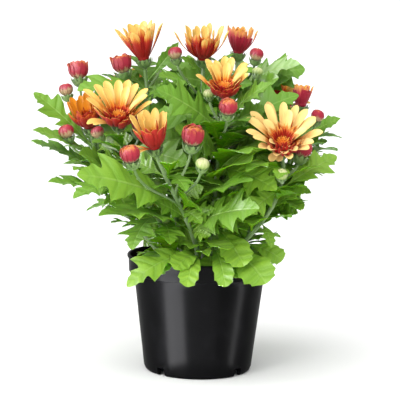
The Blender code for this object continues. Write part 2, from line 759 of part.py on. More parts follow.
def make_disc(shoot):
    """The dense middle of an open bloom: a low dome whose florets stand out as bumps."""

    def florets(row, k):
        """Florets stand out and up by turns."""
        return (1, 0) if row < 2 else (1 + 0.07 * (-1) ** k, 0.5 * MM * (-1) ** (k + row))

    floor = BLOOM_FLOOR + SEAT_GAP
    rings = [(0, 0), (2.4, 0), (4.6, 2.4), (3.4, 4.6), (0, 5)]
    profile = [(radius * MM, floor + height * MM) for radius, height in rings]
    return as_object("disc_" + shoot.name, turned(profile, 8, florets), bloom_head(shoot).seat)


def make_bud(name, head, width):
    """A bud: furled petals as ridges round a ball that is open at the tip."""
    radius = width * MM / 2
    rings = [(0, 0), (0.36, 0.06), (1, 0.8), (0.8, 1.6), (0, 1.8)]

    def ridges(row, k):
        """Petal edges stand out, and their tips rise unevenly."""
        if row < 2:
            return 1, 0
        return 1 + 0.06 * (-1) ** k, radius * 0.12 * (-1) ** k if row > 2 else 0

    profile = [(radius * out, radius * up) for out, up in rings]
    return as_object(name, turned(profile, 6, ridges), head.seat)


def green_bud(head, width, collection):
    """A small closed bud, still green, grown together with its cup."""
    radius = width * MM / 2
    profile = [(radius * out, radius * up) for out, up in [(0, 0.2), (1, 0.9), (0.6, 1.6), (0, 1.7)]]
    return as_object("green_bud", turned(profile, 7), head.cup, collection)


def search_tree(bm):
    """A search tree of a mesh's faces. The mesh is freed."""
    tree = BVHTree.FromBMesh(bm)
    bm.free()
    return tree


def swollen_tree(made):
    """A search tree of an object's faces, moved out by the room that a leaf keeps to them."""
    bm = bmesh.new()
    bm.from_mesh(made.data)
    bm.transform(made.matrix_world)
    bm.normal_update()
    for vert in bm.verts:
        vert.co += vert.normal * LEAF_ROOM
    return search_tree(bm)


class Plant:
    """The pot plant: every shoot grows with its blooms and buds, and leaves hang in the room left."""

    def __init__(self):
        self.stems = [main_path(shoot) for shoot in SHOOTS]
        self.twigs = {shoot.name: new_collection(shoot.name + "_twigs") for shoot in SHOOTS}
        self.filled = []
        self.buds = 0
        self.green = material("leaf green", (0.16, 0.36, 0.05), 0.5)
        self.petal = material("petal red and yellow", (0.85, 0.25, 0.05), 0.5)
        self.floret = material("floret orange", (0.85, 0.4, 0.06), 0.7)
        self.furled = material("furled bud red", (0.5, 0.05, 0.07), 0.5)

    def fill(self, made, owner=None):
        """Keeps other shoots' leaves, or all leaves where there is no owner, clear of this object."""
        self.filled.append((owner, swollen_tree(made)))

    def finish(self, made, look):
        """Gives a finished piece its material and keeps the leaves clear of it."""
        made.data.materials.append(look)
        self.fill(made)

    def plant_in_pot(self):
        """The pot and its soil."""
        self.finish(make_pot(), material("black plastic", (0.018, 0.018, 0.02), 0.35))
        block = soil_block()
        self.fill(block)
        bpy.data.objects.remove(block)
        earth = material("potting soil", (0.045, 0.028, 0.018), 0.95)
        make_soil(self.stems).data.materials.append(earth)

    def grow_shoot(self, shoot, stem):
        """The shoot's bloom, and its side stalks with their buds."""
        twigs = self.twigs[shoot.name]
        trunk = tube("stem", *stem_samples(stem), STEM_SIDES)
        self.fill(trunk, shoot.name)
        bpy.data.objects.remove(trunk)
        head = bloom_head(shoot)
        self.fill(as_object("cup", bract_cup(head, 8), head.cup, twigs), shoot.name)
        self.finish(make_bloom(shoot), self.petal)
        if shoot.open:
            make_disc(shoot).data.materials.append(self.floret)
        for bud in shoot.buds:
            self.grow_bud(shoot, stem, bud)

    def grow_bud(self, shoot, stem, bud):
        """A side stalk with its cup and its bud."""
        twigs = self.twigs[shoot.name]
        head = bud_head(stem, bud)
        radii = [STALK_RADIUS * share for share in (0.75, 1, 1, 1)]
        stalk = tube("stalk", stalk_path(stem, bud).samples(3), radii, 4, collection=twigs)
        self.fill(stalk, shoot.name)
        self.fill(as_object("cup", bract_cup(head, 6), head.cup, twigs), shoot.name)
        if bud.red:
            self.buds += 1
            self.finish(make_bud(f"bud_{self.buds:02d}", head, bud.width), self.furled)
        else:
            self.fill(green_bud(head, bud.width, twigs), shoot.name)

    def hang_leaf(self, shoot, stem, leaf, tries):
        """Hangs a leaf where it meets nothing but its own shoot's wood. Without such room it is left out."""
        for blade in blades(stem.at(leaf.at), leaf, tries):
            tree = search_tree(leaf_mesh(blade, leaf.kind, LEAF_ROOM))
            if not any(owner != shoot.name and other.overlap(tree) for owner, other in self.filled):
                self.filled.append((None, tree))
                as_object("leaf", leaf_mesh(blade, leaf.kind), collection=self.twigs[shoot.name])
                return

    def fuse_shoot(self, shoot, stem):
        """Joins a shoot's leaves, stalks and cups to its stem."""
        points, radii = stem_samples(stem)
        made = first_closed(
            "leafy_stem_" + shoot.name,
            lambda turn: tube("stem", points, radii, STEM_SIDES, turn),
            "UNION",
            self.twigs[shoot.name],
        )
        made.data.materials.append(self.green)

    def grow(self):
        """Everything above the soil."""
        for shoot, stem in zip(SHOOTS, self.stems):
            self.grow_shoot(shoot, stem)
        for shoot, stem in zip(SHOOTS, self.stems):
            for leaf in shoot.leaves:
                self.hang_leaf(shoot, stem, leaf, CHOSEN_TRIES)
        for shoot, stem in zip(SHOOTS, self.stems):
            for leaf in ruled_leaves(shoot, stem):
                self.hang_leaf(shoot, stem, leaf, RULED_TRIES)
        for shoot, stem in zip(SHOOTS, self.stems):
            self.fuse_shoot(shoot, stem)


for old in list(bpy.data.objects):
    bpy.data.objects.remove(old)
plant = Plant()
plant.plant_in_pot()
plant.grow()
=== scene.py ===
"""A pot chrysanthemum in a black nursery pot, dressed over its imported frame.

Every leafy stem, bloom, disc, bud, the soil and the pot is modelled finely over the plain solid of its
node, from the same layout: a leaf is found again on its node by trying the swings that it could have
made. Further leaves then grow where they find room. Metres, +Z up, and -Y is the front.
"""

import logging
import math
from contextlib import contextmanager
from dataclasses import dataclass, field, replace
from enum import Enum
from typing import Callable, Iterator, Sequence

import bmesh
import bpy
import numpy as np
from mathutils import Matrix, Vector
from mathutils.bvhtree import BVHTree


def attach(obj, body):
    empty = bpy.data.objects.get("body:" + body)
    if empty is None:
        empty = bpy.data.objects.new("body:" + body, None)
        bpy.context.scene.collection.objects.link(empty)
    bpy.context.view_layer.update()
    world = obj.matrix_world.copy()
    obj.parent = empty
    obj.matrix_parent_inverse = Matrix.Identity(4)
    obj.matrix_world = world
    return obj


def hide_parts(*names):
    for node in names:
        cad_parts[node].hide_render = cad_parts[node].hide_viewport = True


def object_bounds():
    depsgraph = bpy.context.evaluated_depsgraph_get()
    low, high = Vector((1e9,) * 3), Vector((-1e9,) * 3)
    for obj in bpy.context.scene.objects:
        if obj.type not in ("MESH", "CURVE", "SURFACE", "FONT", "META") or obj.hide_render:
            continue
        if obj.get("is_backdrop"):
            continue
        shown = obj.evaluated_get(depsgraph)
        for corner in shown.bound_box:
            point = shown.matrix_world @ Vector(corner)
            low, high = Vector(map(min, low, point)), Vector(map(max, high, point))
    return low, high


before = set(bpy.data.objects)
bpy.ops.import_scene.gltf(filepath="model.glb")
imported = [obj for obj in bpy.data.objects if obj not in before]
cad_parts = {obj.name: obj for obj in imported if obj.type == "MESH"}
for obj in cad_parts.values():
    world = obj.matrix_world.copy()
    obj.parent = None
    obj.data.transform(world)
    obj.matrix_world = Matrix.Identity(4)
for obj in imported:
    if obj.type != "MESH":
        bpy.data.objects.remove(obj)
CAD_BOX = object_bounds()

log = logging.getLogger("chrysanthemum")

MM = 0.001
UP = Vector((0, 0, 1))
GOLDEN_ANGLE = math.radians(137.508)
SEED = 20
TINY = 1e-6
MERGE_DISTANCE = 1e-5

Piece = bpy.types.Object
Socket = bpy.types.NodeSocket
Placer = Callable[[np.ndarray], np.ndarray]
Colour = tuple[float, float, float]
Pair = tuple[float, float]


def spot(x: float, y: float, z: float) -> Vector:
    """A place given in millimetres."""
    return Vector((x, y, z)) * MM


# Edit-mode helpers


def add_object(name: str, data: bpy.types.ID) -> Piece:
    """Adds an object to the scene.

    Args:
        name: its name.
        data: its mesh, camera or light.

    Returns:
        The object.
    """
    piece = bpy.data.objects.new(name, data)
    bpy.context.scene.collection.objects.link(piece)
    return piece


def activate(*pieces: Piece) -> None:
    """Selects only these pieces and makes the first one active.

    Args:
        pieces: the objects to select.
    """
    bpy.ops.object.select_all(action="DESELECT")
    for piece in pieces:
        piece.select_set(True)
    bpy.context.view_layer.objects.active = pieces[0]


@contextmanager
def editing(piece: Piece) -> Iterator[bmesh.types.BMesh]:
    """Opens a piece in edit mode with nothing selected.

    Args:
        piece: the mesh object to edit.

    Yields:
        The mesh being edited.
    """
    activate(piece)
    bpy.ops.object.mode_set(mode="EDIT")
    bpy.ops.mesh.select_mode(type="VERT")
    bpy.ops.mesh.select_all(action="DESELECT")
    yield bmesh.from_edit_mesh(piece.data)
    bpy.ops.object.mode_set(mode="OBJECT")


def pick(bm: bmesh.types.BMesh, chosen: Callable[[bmesh.types.BMVert], bool]) -> None:
    """Selects the vertices that a test chooses, and no others.

    Args:
        bm: the mesh in edit mode.
        chosen: says of a vertex whether it is selected.
    """
    bpy.ops.mesh.select_all(action="DESELECT")
    for vert in bm.verts:
        if chosen(vert):
            vert.select_set(True)
    bm.select_flush_mode()


def named(name: str) -> Piece:
    """Names the active object and its mesh, and returns it.

    Args:
        name: the piece's name.

    Returns:
        The object.
    """
    piece = bpy.context.active_object
    piece.name = name
    piece.data.name = name
    return piece


def add_primitive(name: str, operator: Callable[..., object], **settings: object) -> Piece:
    """Adds a primitive and leaves nothing else selected.

    Args:
        name: its name.
        operator: what adds it.
        settings: the operator's settings.

    Returns:
        The piece.
    """
    bpy.ops.object.select_all(action="DESELECT")
    operator(**settings)
    return named(name)


def apply_modifier(piece: Piece, kind: str, **settings: object) -> None:
    """Adds a modifier with these settings to a piece and applies it.

    Args:
        piece: the object to change.
        kind: the modifier's type.
        settings: its properties.
    """
    modifier = piece.modifiers.new(kind.title(), kind)
    for key, value in settings.items():
        setattr(modifier, key, value)
    activate(piece)
    bpy.ops.object.modifier_apply(modifier=modifier.name)


def join(name: str, pieces: Sequence[Piece]) -> Piece:
    """Joins pieces into one object.

    Args:
        name: the name of the joined piece.
        pieces: the objects, of which the first keeps its place.

    Returns:
        The joined object.
    """
    activate(*pieces)
    bpy.ops.object.join()
    return named(name)


def smooth(piece: Piece, degrees: float) -> None:
    """Shades a piece smooth, but for edges sharper than so many degrees."""
    activate(piece)
    bpy.ops.object.shade_smooth_by_angle(angle=math.radians(degrees))


def stand(piece: Piece, place: Placer) -> None:
    """Moves a piece's points from the frame that it was modelled in to the plant's."""
    points = np.array([vert.co for vert in piece.data.vertices])
    piece.data.vertices.foreach_set("co", place(points).ravel())


# Finishes


class Nodes:
    """Builds a material's nodes one after the other."""

    def __init__(self, name: str) -> None:
        """Starts a material.

        Args:
            name: the material's name.
        """
        self.material = bpy.data.materials.new(name)
        self.material.use_nodes = True
        self.tree = self.material.node_tree
        self.shader = self.tree.nodes["Principled BSDF"]

    def feed(self, socket: Socket, value: object) -> None:
        """Links an output to a socket, or sets the socket's value.

        Args:
            socket: the input to feed.
            value: an output or a constant.
        """
        if isinstance(value, Socket):
            self.tree.links.new(value, socket)
        else:
            socket.default_value = value

    def math(self, operation: str, a: object, b: object = 0.0, c: object = 0.0) -> Socket:
        """A Math node's result.

        Args:
            operation: what the node does.
            a: an output or a number, as the next two are.
            b: the second operand.
            c: the third operand.

        Returns:
            The result's output.
        """
        node = self.tree.nodes.new("ShaderNodeMath")
        node.operation = operation
        for socket, value in zip(node.inputs, (a, b, c)):
            self.feed(socket, value)
        return node.outputs[0]

    def band(
        self, value: object, low: float, high: float, to: Pair = (0, 1)
    ) -> Socket:
        """A smooth step of a value between two limits.

        Args:
            value: the value's output.
            low: where the step starts.
            high: where it ends.
            to: what it goes from and to.

        Returns:
            The step's output.
        """
        node = self.tree.nodes.new("ShaderNodeMapRange")
        node.interpolation_type = "SMOOTHSTEP"
        for key, item in zip(("Value", "From Min", "From Max", "To Min", "To Max"), (value, low, high, *to)):
            self.feed(node.inputs[key], item)
        return node.outputs[0]

    def mix(self, share: object, a: object, b: object) -> Socket:
        """A mix of two colours.

        Args:
            share: how much of the second colour there is.
            a: the first colour, or its output.
            b: the second colour, or its output.

        Returns:
            The mixed colour's output.
        """
        node = self.tree.nodes.new("ShaderNodeMix")
        node.data_type = "RGBA"
        colours = [(*item, 1) if isinstance(item, tuple) else item for item in (a, b)]
        for socket, item in zip((node.inputs[0], node.inputs[6], node.inputs[7]), (share, *colours)):
            self.feed(socket, item)
        return node.outputs[2]

    def ramp(self, value: object, stops: Sequence[tuple[float, Colour]]) -> Socket:
        """A colour ramp.

        Args:
            value: the output that says where on the ramp.
            stops: places on the ramp and their colours.

        Returns:
            The colour's output.
        """
        node = self.tree.nodes.new("ShaderNodeValToRGB")
        elements = node.color_ramp.elements
        while len(elements) < len(stops):
            elements.new(0.5)
        for element, (place, colour) in zip(elements, stops):
            element.position = place
            element.color = (*colour, 1)
        self.feed(node.inputs[0], value)
        return node.outputs[0]

    def place(self, scale: Sequence[float] = (1, 1, 1), uv: bool = False) -> Socket:
        """Object or UV coordinates, stretched.

        Args:
            scale: by how much along each axis.
            uv: whether they are UV coordinates.

        Returns:
            The coordinates' output.
        """
        coordinates = self.tree.nodes.new("ShaderNodeTexCoord")
        mapping = self.tree.nodes.new("ShaderNodeMapping")
        mapping.inputs["Scale"].default_value = scale
        self.tree.links.new(coordinates.outputs["UV" if uv else "Object"], mapping.inputs["Vector"])
        return mapping.outputs[0]

    def noise(self, place: object, scale: float, detail: float) -> Socket:
        """A noise value, 0 to 1.

        Args:
            place: the coordinates' output.
            scale: how fine it is.
            detail: how much finer detail it has.

        Returns:
            The noise's output.
        """
        node = self.tree.nodes.new("ShaderNodeTexNoise")
        self.feed(node.inputs["Vector"], place)
        node.inputs["Scale"].default_value = scale
        node.inputs["Detail"].default_value = detail
        return node.outputs["Fac"]

    def nearest(self, value: object, places: Sequence[float]) -> Socket:
        """How far a value is from the nearest of some places.

        Args:
            value: the value's output.
            places: the places.

        Returns:
            The distance's output.
        """
        near = self.math("ABSOLUTE", self.math("SUBTRACT", value, places[0]))
        for place in places[1:]:
            near = self.math("MINIMUM", near, self.math("ABSOLUTE", self.math("SUBTRACT", value, place)))
        return near

    def attribute(self, name: str) -> Socket:
        """A value that each vertex carries.

        Args:
            name: the attribute's name.

        Returns:
            The value's output.
        """
        node = self.tree.nodes.new("ShaderNodeAttribute")
        node.attribute_name = name
        return node.outputs["Fac"]

    def across(self) -> tuple[Socket, Socket]:
        """Where a point lies on a leaf or petal, by its UV map.

        Returns:
            The outputs of its share along and of its distance from the midrib.
        """
        split = self.tree.nodes.new("ShaderNodeSeparateXYZ")
        self.tree.links.new(self.place(uv=True), split.inputs[0])
        return split.outputs[0], self.math("ABSOLUTE", self.math("SUBTRACT", split.outputs[1], 0.5))

    def bump(self, height: object, depth: float, strength: float = 1.0) -> None:
        """Gives the shader relief.

        Args:
            height: the output of its height, as a share of its depth.
            depth: its depth in metres.
            strength: how strongly it shows.
        """
        node = self.tree.nodes.new("ShaderNodeBump")
        node.inputs["Strength"].default_value = strength
        node.inputs["Distance"].default_value = depth
        self.feed(node.inputs["Height"], height)
        self.feed(self.shader.inputs["Normal"], node.outputs[0])

    def finish(self, colour: object, roughness: object, **constant: float) -> bpy.types.Material:
        """Sets the shader's colour, roughness and constant sockets.

        Args:
            colour: a colour or an output.
            roughness: a number or an output.
            constant: further sockets by name, with _ for a space.

        Returns:
            The material.
        """
        self.feed(self.shader.inputs["Base Color"], (*colour, 1) if isinstance(colour, tuple) else colour)
        self.feed(self.shader.inputs["Roughness"], roughness)
        for key, value in constant.items():
            self.shader.inputs[key.replace("_", " ")].default_value = value
        return self.material


@dataclass(frozen=True)
class LeafFinish:
    """One side of a leaf: deep to bright green by the leaf's tone, going pale grey-green at the highest
    tones as a painted sheen, with pale veins, painted shade along the side veins, and a soft sheen.
    """

    name: str
    deep: Colour
    bright: Colour
    vein: Colour
    roughness: float
    vein_share: float
    # Pale grey-green that the highest tones reach: a painted sheen on the leaf.
    pale: Colour = (0.42, 0.6, 0.3)
    slant: float = 0.51
    vein_starts: tuple[float, ...] = (0.27, 0.4, 0.52, 0.645, 0.79, 0.88)
    glow: float = 0.0

    def material(self) -> bpy.types.Material:
        """Makes the material.

        Returns:
            The material.
        """
        nodes = Nodes(self.name)
        along, out = nodes.across()
        drift = nodes.noise(nodes.place((4, 4, 1), uv=True), 1.6, 2)
        patches = nodes.noise(nodes.place(), 42, 3)
        tone = nodes.math("ADD", nodes.attribute("tone"), nodes.math("MULTIPLY", patches, 0.4))
        base = nodes.mix(nodes.band(tone, 0.12, 1.3), self.deep, self.bright)
        # Painted sheen: at the highest tones the colour goes towards pale grey-green.
        base = nodes.mix(nodes.band(tone, 1.35, 2.6, (0, 0.8)), base, self.pale)
        start = nodes.math("SUBTRACT", along, nodes.math("MULTIPLY", out, self.slant))
        start = nodes.math("ADD", start, nodes.math("MULTIPLY", nodes.math("SUBTRACT", drift, 0.5), 0.09))
        gap = nodes.nearest(start, self.vein_starts)
        side_vein = nodes.math("MULTIPLY", nodes.band(gap, 0.011, 0.001), nodes.band(out, 0.25, 0.06))
        midrib = nodes.math("MULTIPLY", nodes.band(out, 0.015, 0.005), nodes.band(along, 1.0, 0.6, (0.3, 1)))
        veins = nodes.math("MAXIMUM", midrib, nodes.math("MULTIPLY", side_vein, 0.4))
        fine = nodes.noise(nodes.place((9, 26, 1), uv=True), 2.2, 4)
        # Painted shade: the colour goes darker in bands along the sunk side veins, as if their grooves were
        # in shade.
        painted_vein_shade = nodes.math("MULTIPLY", nodes.band(gap, 0.045, 0.012), 0.3)
        # Random mottling, plus the painted shade along the veins.
        mottle_and_vein_shade = nodes.math("ADD", nodes.math("MULTIPLY", fine, 0.3), painted_vein_shade)
        veins = nodes.math("MULTIPLY", veins, self.vein_share)
        colour = nodes.mix(veins, nodes.mix(mottle_and_vein_shade, base, self.deep), self.vein)
        cells = nodes.noise(nodes.place(), 700, 3)
        grain = nodes.math("MULTIPLY", nodes.math("ADD", fine, cells), 0.35)
        relief = nodes.math("ADD", nodes.band(gap, 0.0, 0.06, (0, 0.8)), grain)
        nodes.bump(nodes.math("SUBTRACT", relief, nodes.math("MULTIPLY", midrib, 0.8)), 0.7 * MM, 0.6)
        rough = nodes.math("ADD", nodes.math("MULTIPLY", patches, 0.3), self.roughness - 0.15)
        return nodes.finish(
            colour, rough, Specular_IOR_Level=0.3, Subsurface_Weight=self.glow, Subsurface_Scale=0.8 * MM
        )


@dataclass(frozen=True)
class PetalFinish:
    """One side of a petal, from its heart through a flame zone to its tip, in streaks along it.

    The tone that a petal carries moves the whole run of colours towards its tip.
    """

    name: str
    heart: Colour
    flame: Colour
    middle: Colour
    tip: Colour
    flame_at: float
    tip_at: float

    def material(self) -> bpy.types.Material:
        """Makes the material.

        Returns:
            The material.
        """
        nodes = Nodes(self.name)
        along, out = nodes.across()
        streak = nodes.noise(nodes.place((1.4, 26, 1), uv=True), 1.0, 4)
        patch = nodes.noise(nodes.place(), 260, 2)
        shift = nodes.math("MULTIPLY", nodes.math("SUBTRACT", streak, 0.5), 0.8)
        edge = nodes.math("MULTIPLY", out, 0.22)
        place = nodes.math("ADD", along, shift)
        place = nodes.math("ADD", place, nodes.math("SUBTRACT", edge, nodes.attribute("tone")))
        stops = [
            (0.0, self.heart),
            (self.flame_at * 0.6, self.heart),
            (self.flame_at, self.flame),
            ((self.flame_at + self.tip_at) / 2, self.middle),
            (self.tip_at, self.tip),
        ]
        colour = nodes.mix(nodes.math("MULTIPLY", patch, 0.16), nodes.ramp(place, stops), self.flame)
        grooves = nodes.noise(nodes.place((0.6, 34, 1), uv=True), 1.0, 1)
        nodes.bump(grooves, 0.35 * MM, 0.5)
        return nodes.finish(colour, 0.55, Sheen_Weight=0.1, Sheen_Roughness=0.4, Specular_IOR_Level=0.2)


@dataclass(frozen=True)
class PlainFinish:
    """A surface of two colours in soft patches, with fine relief."""

    name: str
    colour: Colour
    patch: Colour
    roughness: float
    grain: float
    depth: float
    stretch: tuple[float, float, float] = (1, 1, 1)
    sheen: float = 0.0

    def material(self) -> bpy.types.Material:
        """Makes the material.

        Returns:
            The material.
        """
        nodes = Nodes(self.name)
        noise = nodes.noise(nodes.place(self.stretch), self.grain, 5)
        tone = nodes.math("MULTIPLY", nodes.attribute("tone"), 0.6)
        tone = nodes.math("ADD", tone, nodes.band(noise, 0.3, 0.7))
        nodes.bump(noise, self.depth)
        rough = nodes.math("ADD", nodes.math("MULTIPLY", noise, 0.2), self.roughness - 0.1)
        return nodes.finish(nodes.mix(tone, self.colour, self.patch), rough, Sheen_Weight=self.sheen)


@dataclass(frozen=True)
class PotFinish:
    """Satin black plastic with soft upright drag marks from its mould, and light scuffs."""

    name: str = "satin black plastic"

    def material(self) -> bpy.types.Material:
        """Makes the material.

        Returns:
            The material.
        """
        nodes = Nodes(self.name)
        drag = nodes.noise(nodes.place((1, 1, 0.06)), 150, 4)
        scuff = nodes.noise(nodes.place(), 45, 6)
        wear = nodes.math("ADD", nodes.math("MULTIPLY", drag, 0.12), nodes.math("MULTIPLY", scuff, 0.14))
        rough = nodes.math("ADD", 0.2, wear)
        colour = nodes.mix(nodes.band(scuff, 0.52, 0.8), (0.0056, 0.0056, 0.0061), (0.0088, 0.0088, 0.0098))
        nodes.bump(nodes.math("ADD", nodes.math("MULTIPLY", drag, 0.4), scuff), 0.12 * MM, 0.35)
        return nodes.finish(colour, rough, Specular_IOR_Level=0.009)


class Palette(Enum):
    """Every finish on the plant."""

    LEAF_TOP = LeafFinish(
        "leaf upper side", (0.078, 0.25, 0.001), (0.21, 0.5, 0.001), (0.29, 0.56, 0.03), 0.32, 0.34, glow=0.2
    )
    LEAF_UNDER = LeafFinish(
        "leaf underside", (0.12, 0.28, 0.02), (0.28, 0.49, 0.04), (0.34, 0.54, 0.12), 0.5, 0.4
    )
    STEM = PlainFinish(
        "downy stem", (0.13, 0.25, 0.055), (0.27, 0.4, 0.16), 0.6, 60, 0.2 * MM, (1, 1, 0.12), 0.3
    )
    BRACT = PlainFinish("bract green", (0.07, 0.17, 0.03), (0.2, 0.33, 0.09), 0.55, 220, 0.2 * MM, sheen=0.2)
    HAIR = PlainFinish("silver hair", (0.62, 0.7, 0.52), (0.8, 0.85, 0.74), 0.6, 40, 0.01 * MM)
    YOUNG = PetalFinish(
        "green bud", (0.14, 0.28, 0.05), (0.28, 0.42, 0.1), (0.46, 0.55, 0.2), (0.62, 0.62, 0.34), 0.4, 0.95
    )
    SUNNY = PetalFinish(
        "sunny petal face",
        (0.42, 0.016, 0.008), (0.68, 0.085, 0.012), (0.86, 0.37, 0.035), (0.88, 0.63, 0.16), 0.3, 0.6,
    )
    SUNNY_BACK = PetalFinish(
        "sunny petal back",
        (0.34, 0.01, 0.008), (0.52, 0.03, 0.018), (0.8, 0.24, 0.03), (0.88, 0.57, 0.14), 0.64, 0.84,
    )
    PALE = PetalFinish(
        "pale petal face",
        (0.44, 0.02, 0.012), (0.72, 0.12, 0.025), (0.87, 0.44, 0.07), (0.9, 0.68, 0.24), 0.29, 0.58,
    )
    AMBER = PetalFinish(
        "amber petal face",
        (0.4, 0.02, 0.008), (0.6, 0.06, 0.008), (0.82, 0.2, 0.012), (0.88, 0.36, 0.02), 0.25, 0.6,
    )
    AMBER_BACK = PetalFinish(
        "amber petal back",
        (0.28, 0.012, 0.01), (0.42, 0.03, 0.012), (0.7, 0.12, 0.015), (0.85, 0.3, 0.02), 0.45, 0.85,
    )
    EMBER = PetalFinish(
        "ember petal face",
        (0.42, 0.014, 0.03), (0.58, 0.04, 0.05), (0.78, 0.18, 0.05), (0.9, 0.5, 0.1), 0.4, 0.85,
    )
    EMBER_BACK = PetalFinish(
        "ember petal back",
        (0.36, 0.012, 0.035), (0.54, 0.035, 0.07), (0.66, 0.08, 0.09), (0.86, 0.42, 0.1), 0.6, 0.95,
    )
    FURLED = PetalFinish(
        "furled bud petal",
        (0.5, 0.36, 0.2), (0.34, 0.018, 0.04), (0.4, 0.025, 0.045), (0.74, 0.24, 0.06), 0.3, 1.25,
    )
    FLORET = PlainFinish("disc floret", (0.66, 0.08, 0.012), (0.93, 0.5, 0.07), 0.6, 500, 0.1 * MM)
    QUILL = PlainFinish("ring floret", (0.62, 0.05, 0.01), (0.85, 0.25, 0.03), 0.55, 400, 0.1 * MM)
    SOIL = PlainFinish("potting soil", (0.012, 0.007, 0.004), (0.05, 0.028, 0.014), 0.95, 300, 1.2 * MM)
    BARK = PlainFinish(
        "bark crumb", (0.03, 0.016, 0.008), (0.1, 0.055, 0.028), 0.85, 600, 0.3 * MM, (1, 1, 3)
    )
    POT = PotFinish()

    @property
    def material(self) -> bpy.types.Material:
        """The finish's material, made when it is first asked for."""
        return bpy.data.materials.get(self.value.name) or self.value.material()


def dress(piece: Piece, *finishes: Palette) -> None:
    """Gives a piece its finishes, one slot each, in the order of its faces' material numbers."""
    for finish in finishes:
        piece.data.materials.append(finish.material)


def hand_in(piece: Piece, node: str) -> None:
    """Puts a finished piece in its node's place.

    Args:
        piece: the finished object.
        node: the node that it stands for.
    """
    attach(piece, "root")
    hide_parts(node)
    log.info("%s: %d faces", piece.name, len(piece.data.polygons))


# The layout that the nodes were made from


@dataclass(frozen=True)
class Bud:
    """A closed or opening bud: how far up the shoot its stalk leaves, its foot, and its width in mm.

    It is red, or else still green.
    """

    at: float
    foot: Vector
    width: float
    red: bool = True


@dataclass(frozen=True)
class Leaf:
    """A leaf: how far up the shoot it grows, its tip, what its upper side faces, and its outline.

    In looks alone, pale makes its colour lighter, or darker if negative, and slim narrows it. Raised
    high, pale paints a sheen on the leaf. Raised a little, it lightens a leaf in shade, as painted light.
    """

    at: float
    tip: Vector
    face: Sequence[float] = (0, -0.5, 0.85)
    arch: float = 45.0
    kind: str = "lobed"
    width: float = 1.0
    # A high pale paints a sheen on the leaf, and a small one is painted light on a leaf in shade.
    pale: float = 0.0
    slim: float = 1.0


@dataclass(frozen=True)
class Shoot:
    """A leafy stem from its root in the soil, past two guide points, to the foot of its bloom.

    The bloom's petals lean out between the angles of spread and reach so many mm. The leaves that follow a
    rule have a number and the bearing of the first.
    """

    name: str
    root: Pair
    guide: tuple[tuple[float, float, float], ...]
    foot: Vector
    facing: tuple[float, float, float]
    spread: Pair
    reach: float
    petals: int
    open: bool = False
    buds: list[Bud] = field(default_factory=list)
    leaves: list[Leaf] = field(default_factory=list)
    rule_leaves: tuple[int, float] = (0, 0.0)


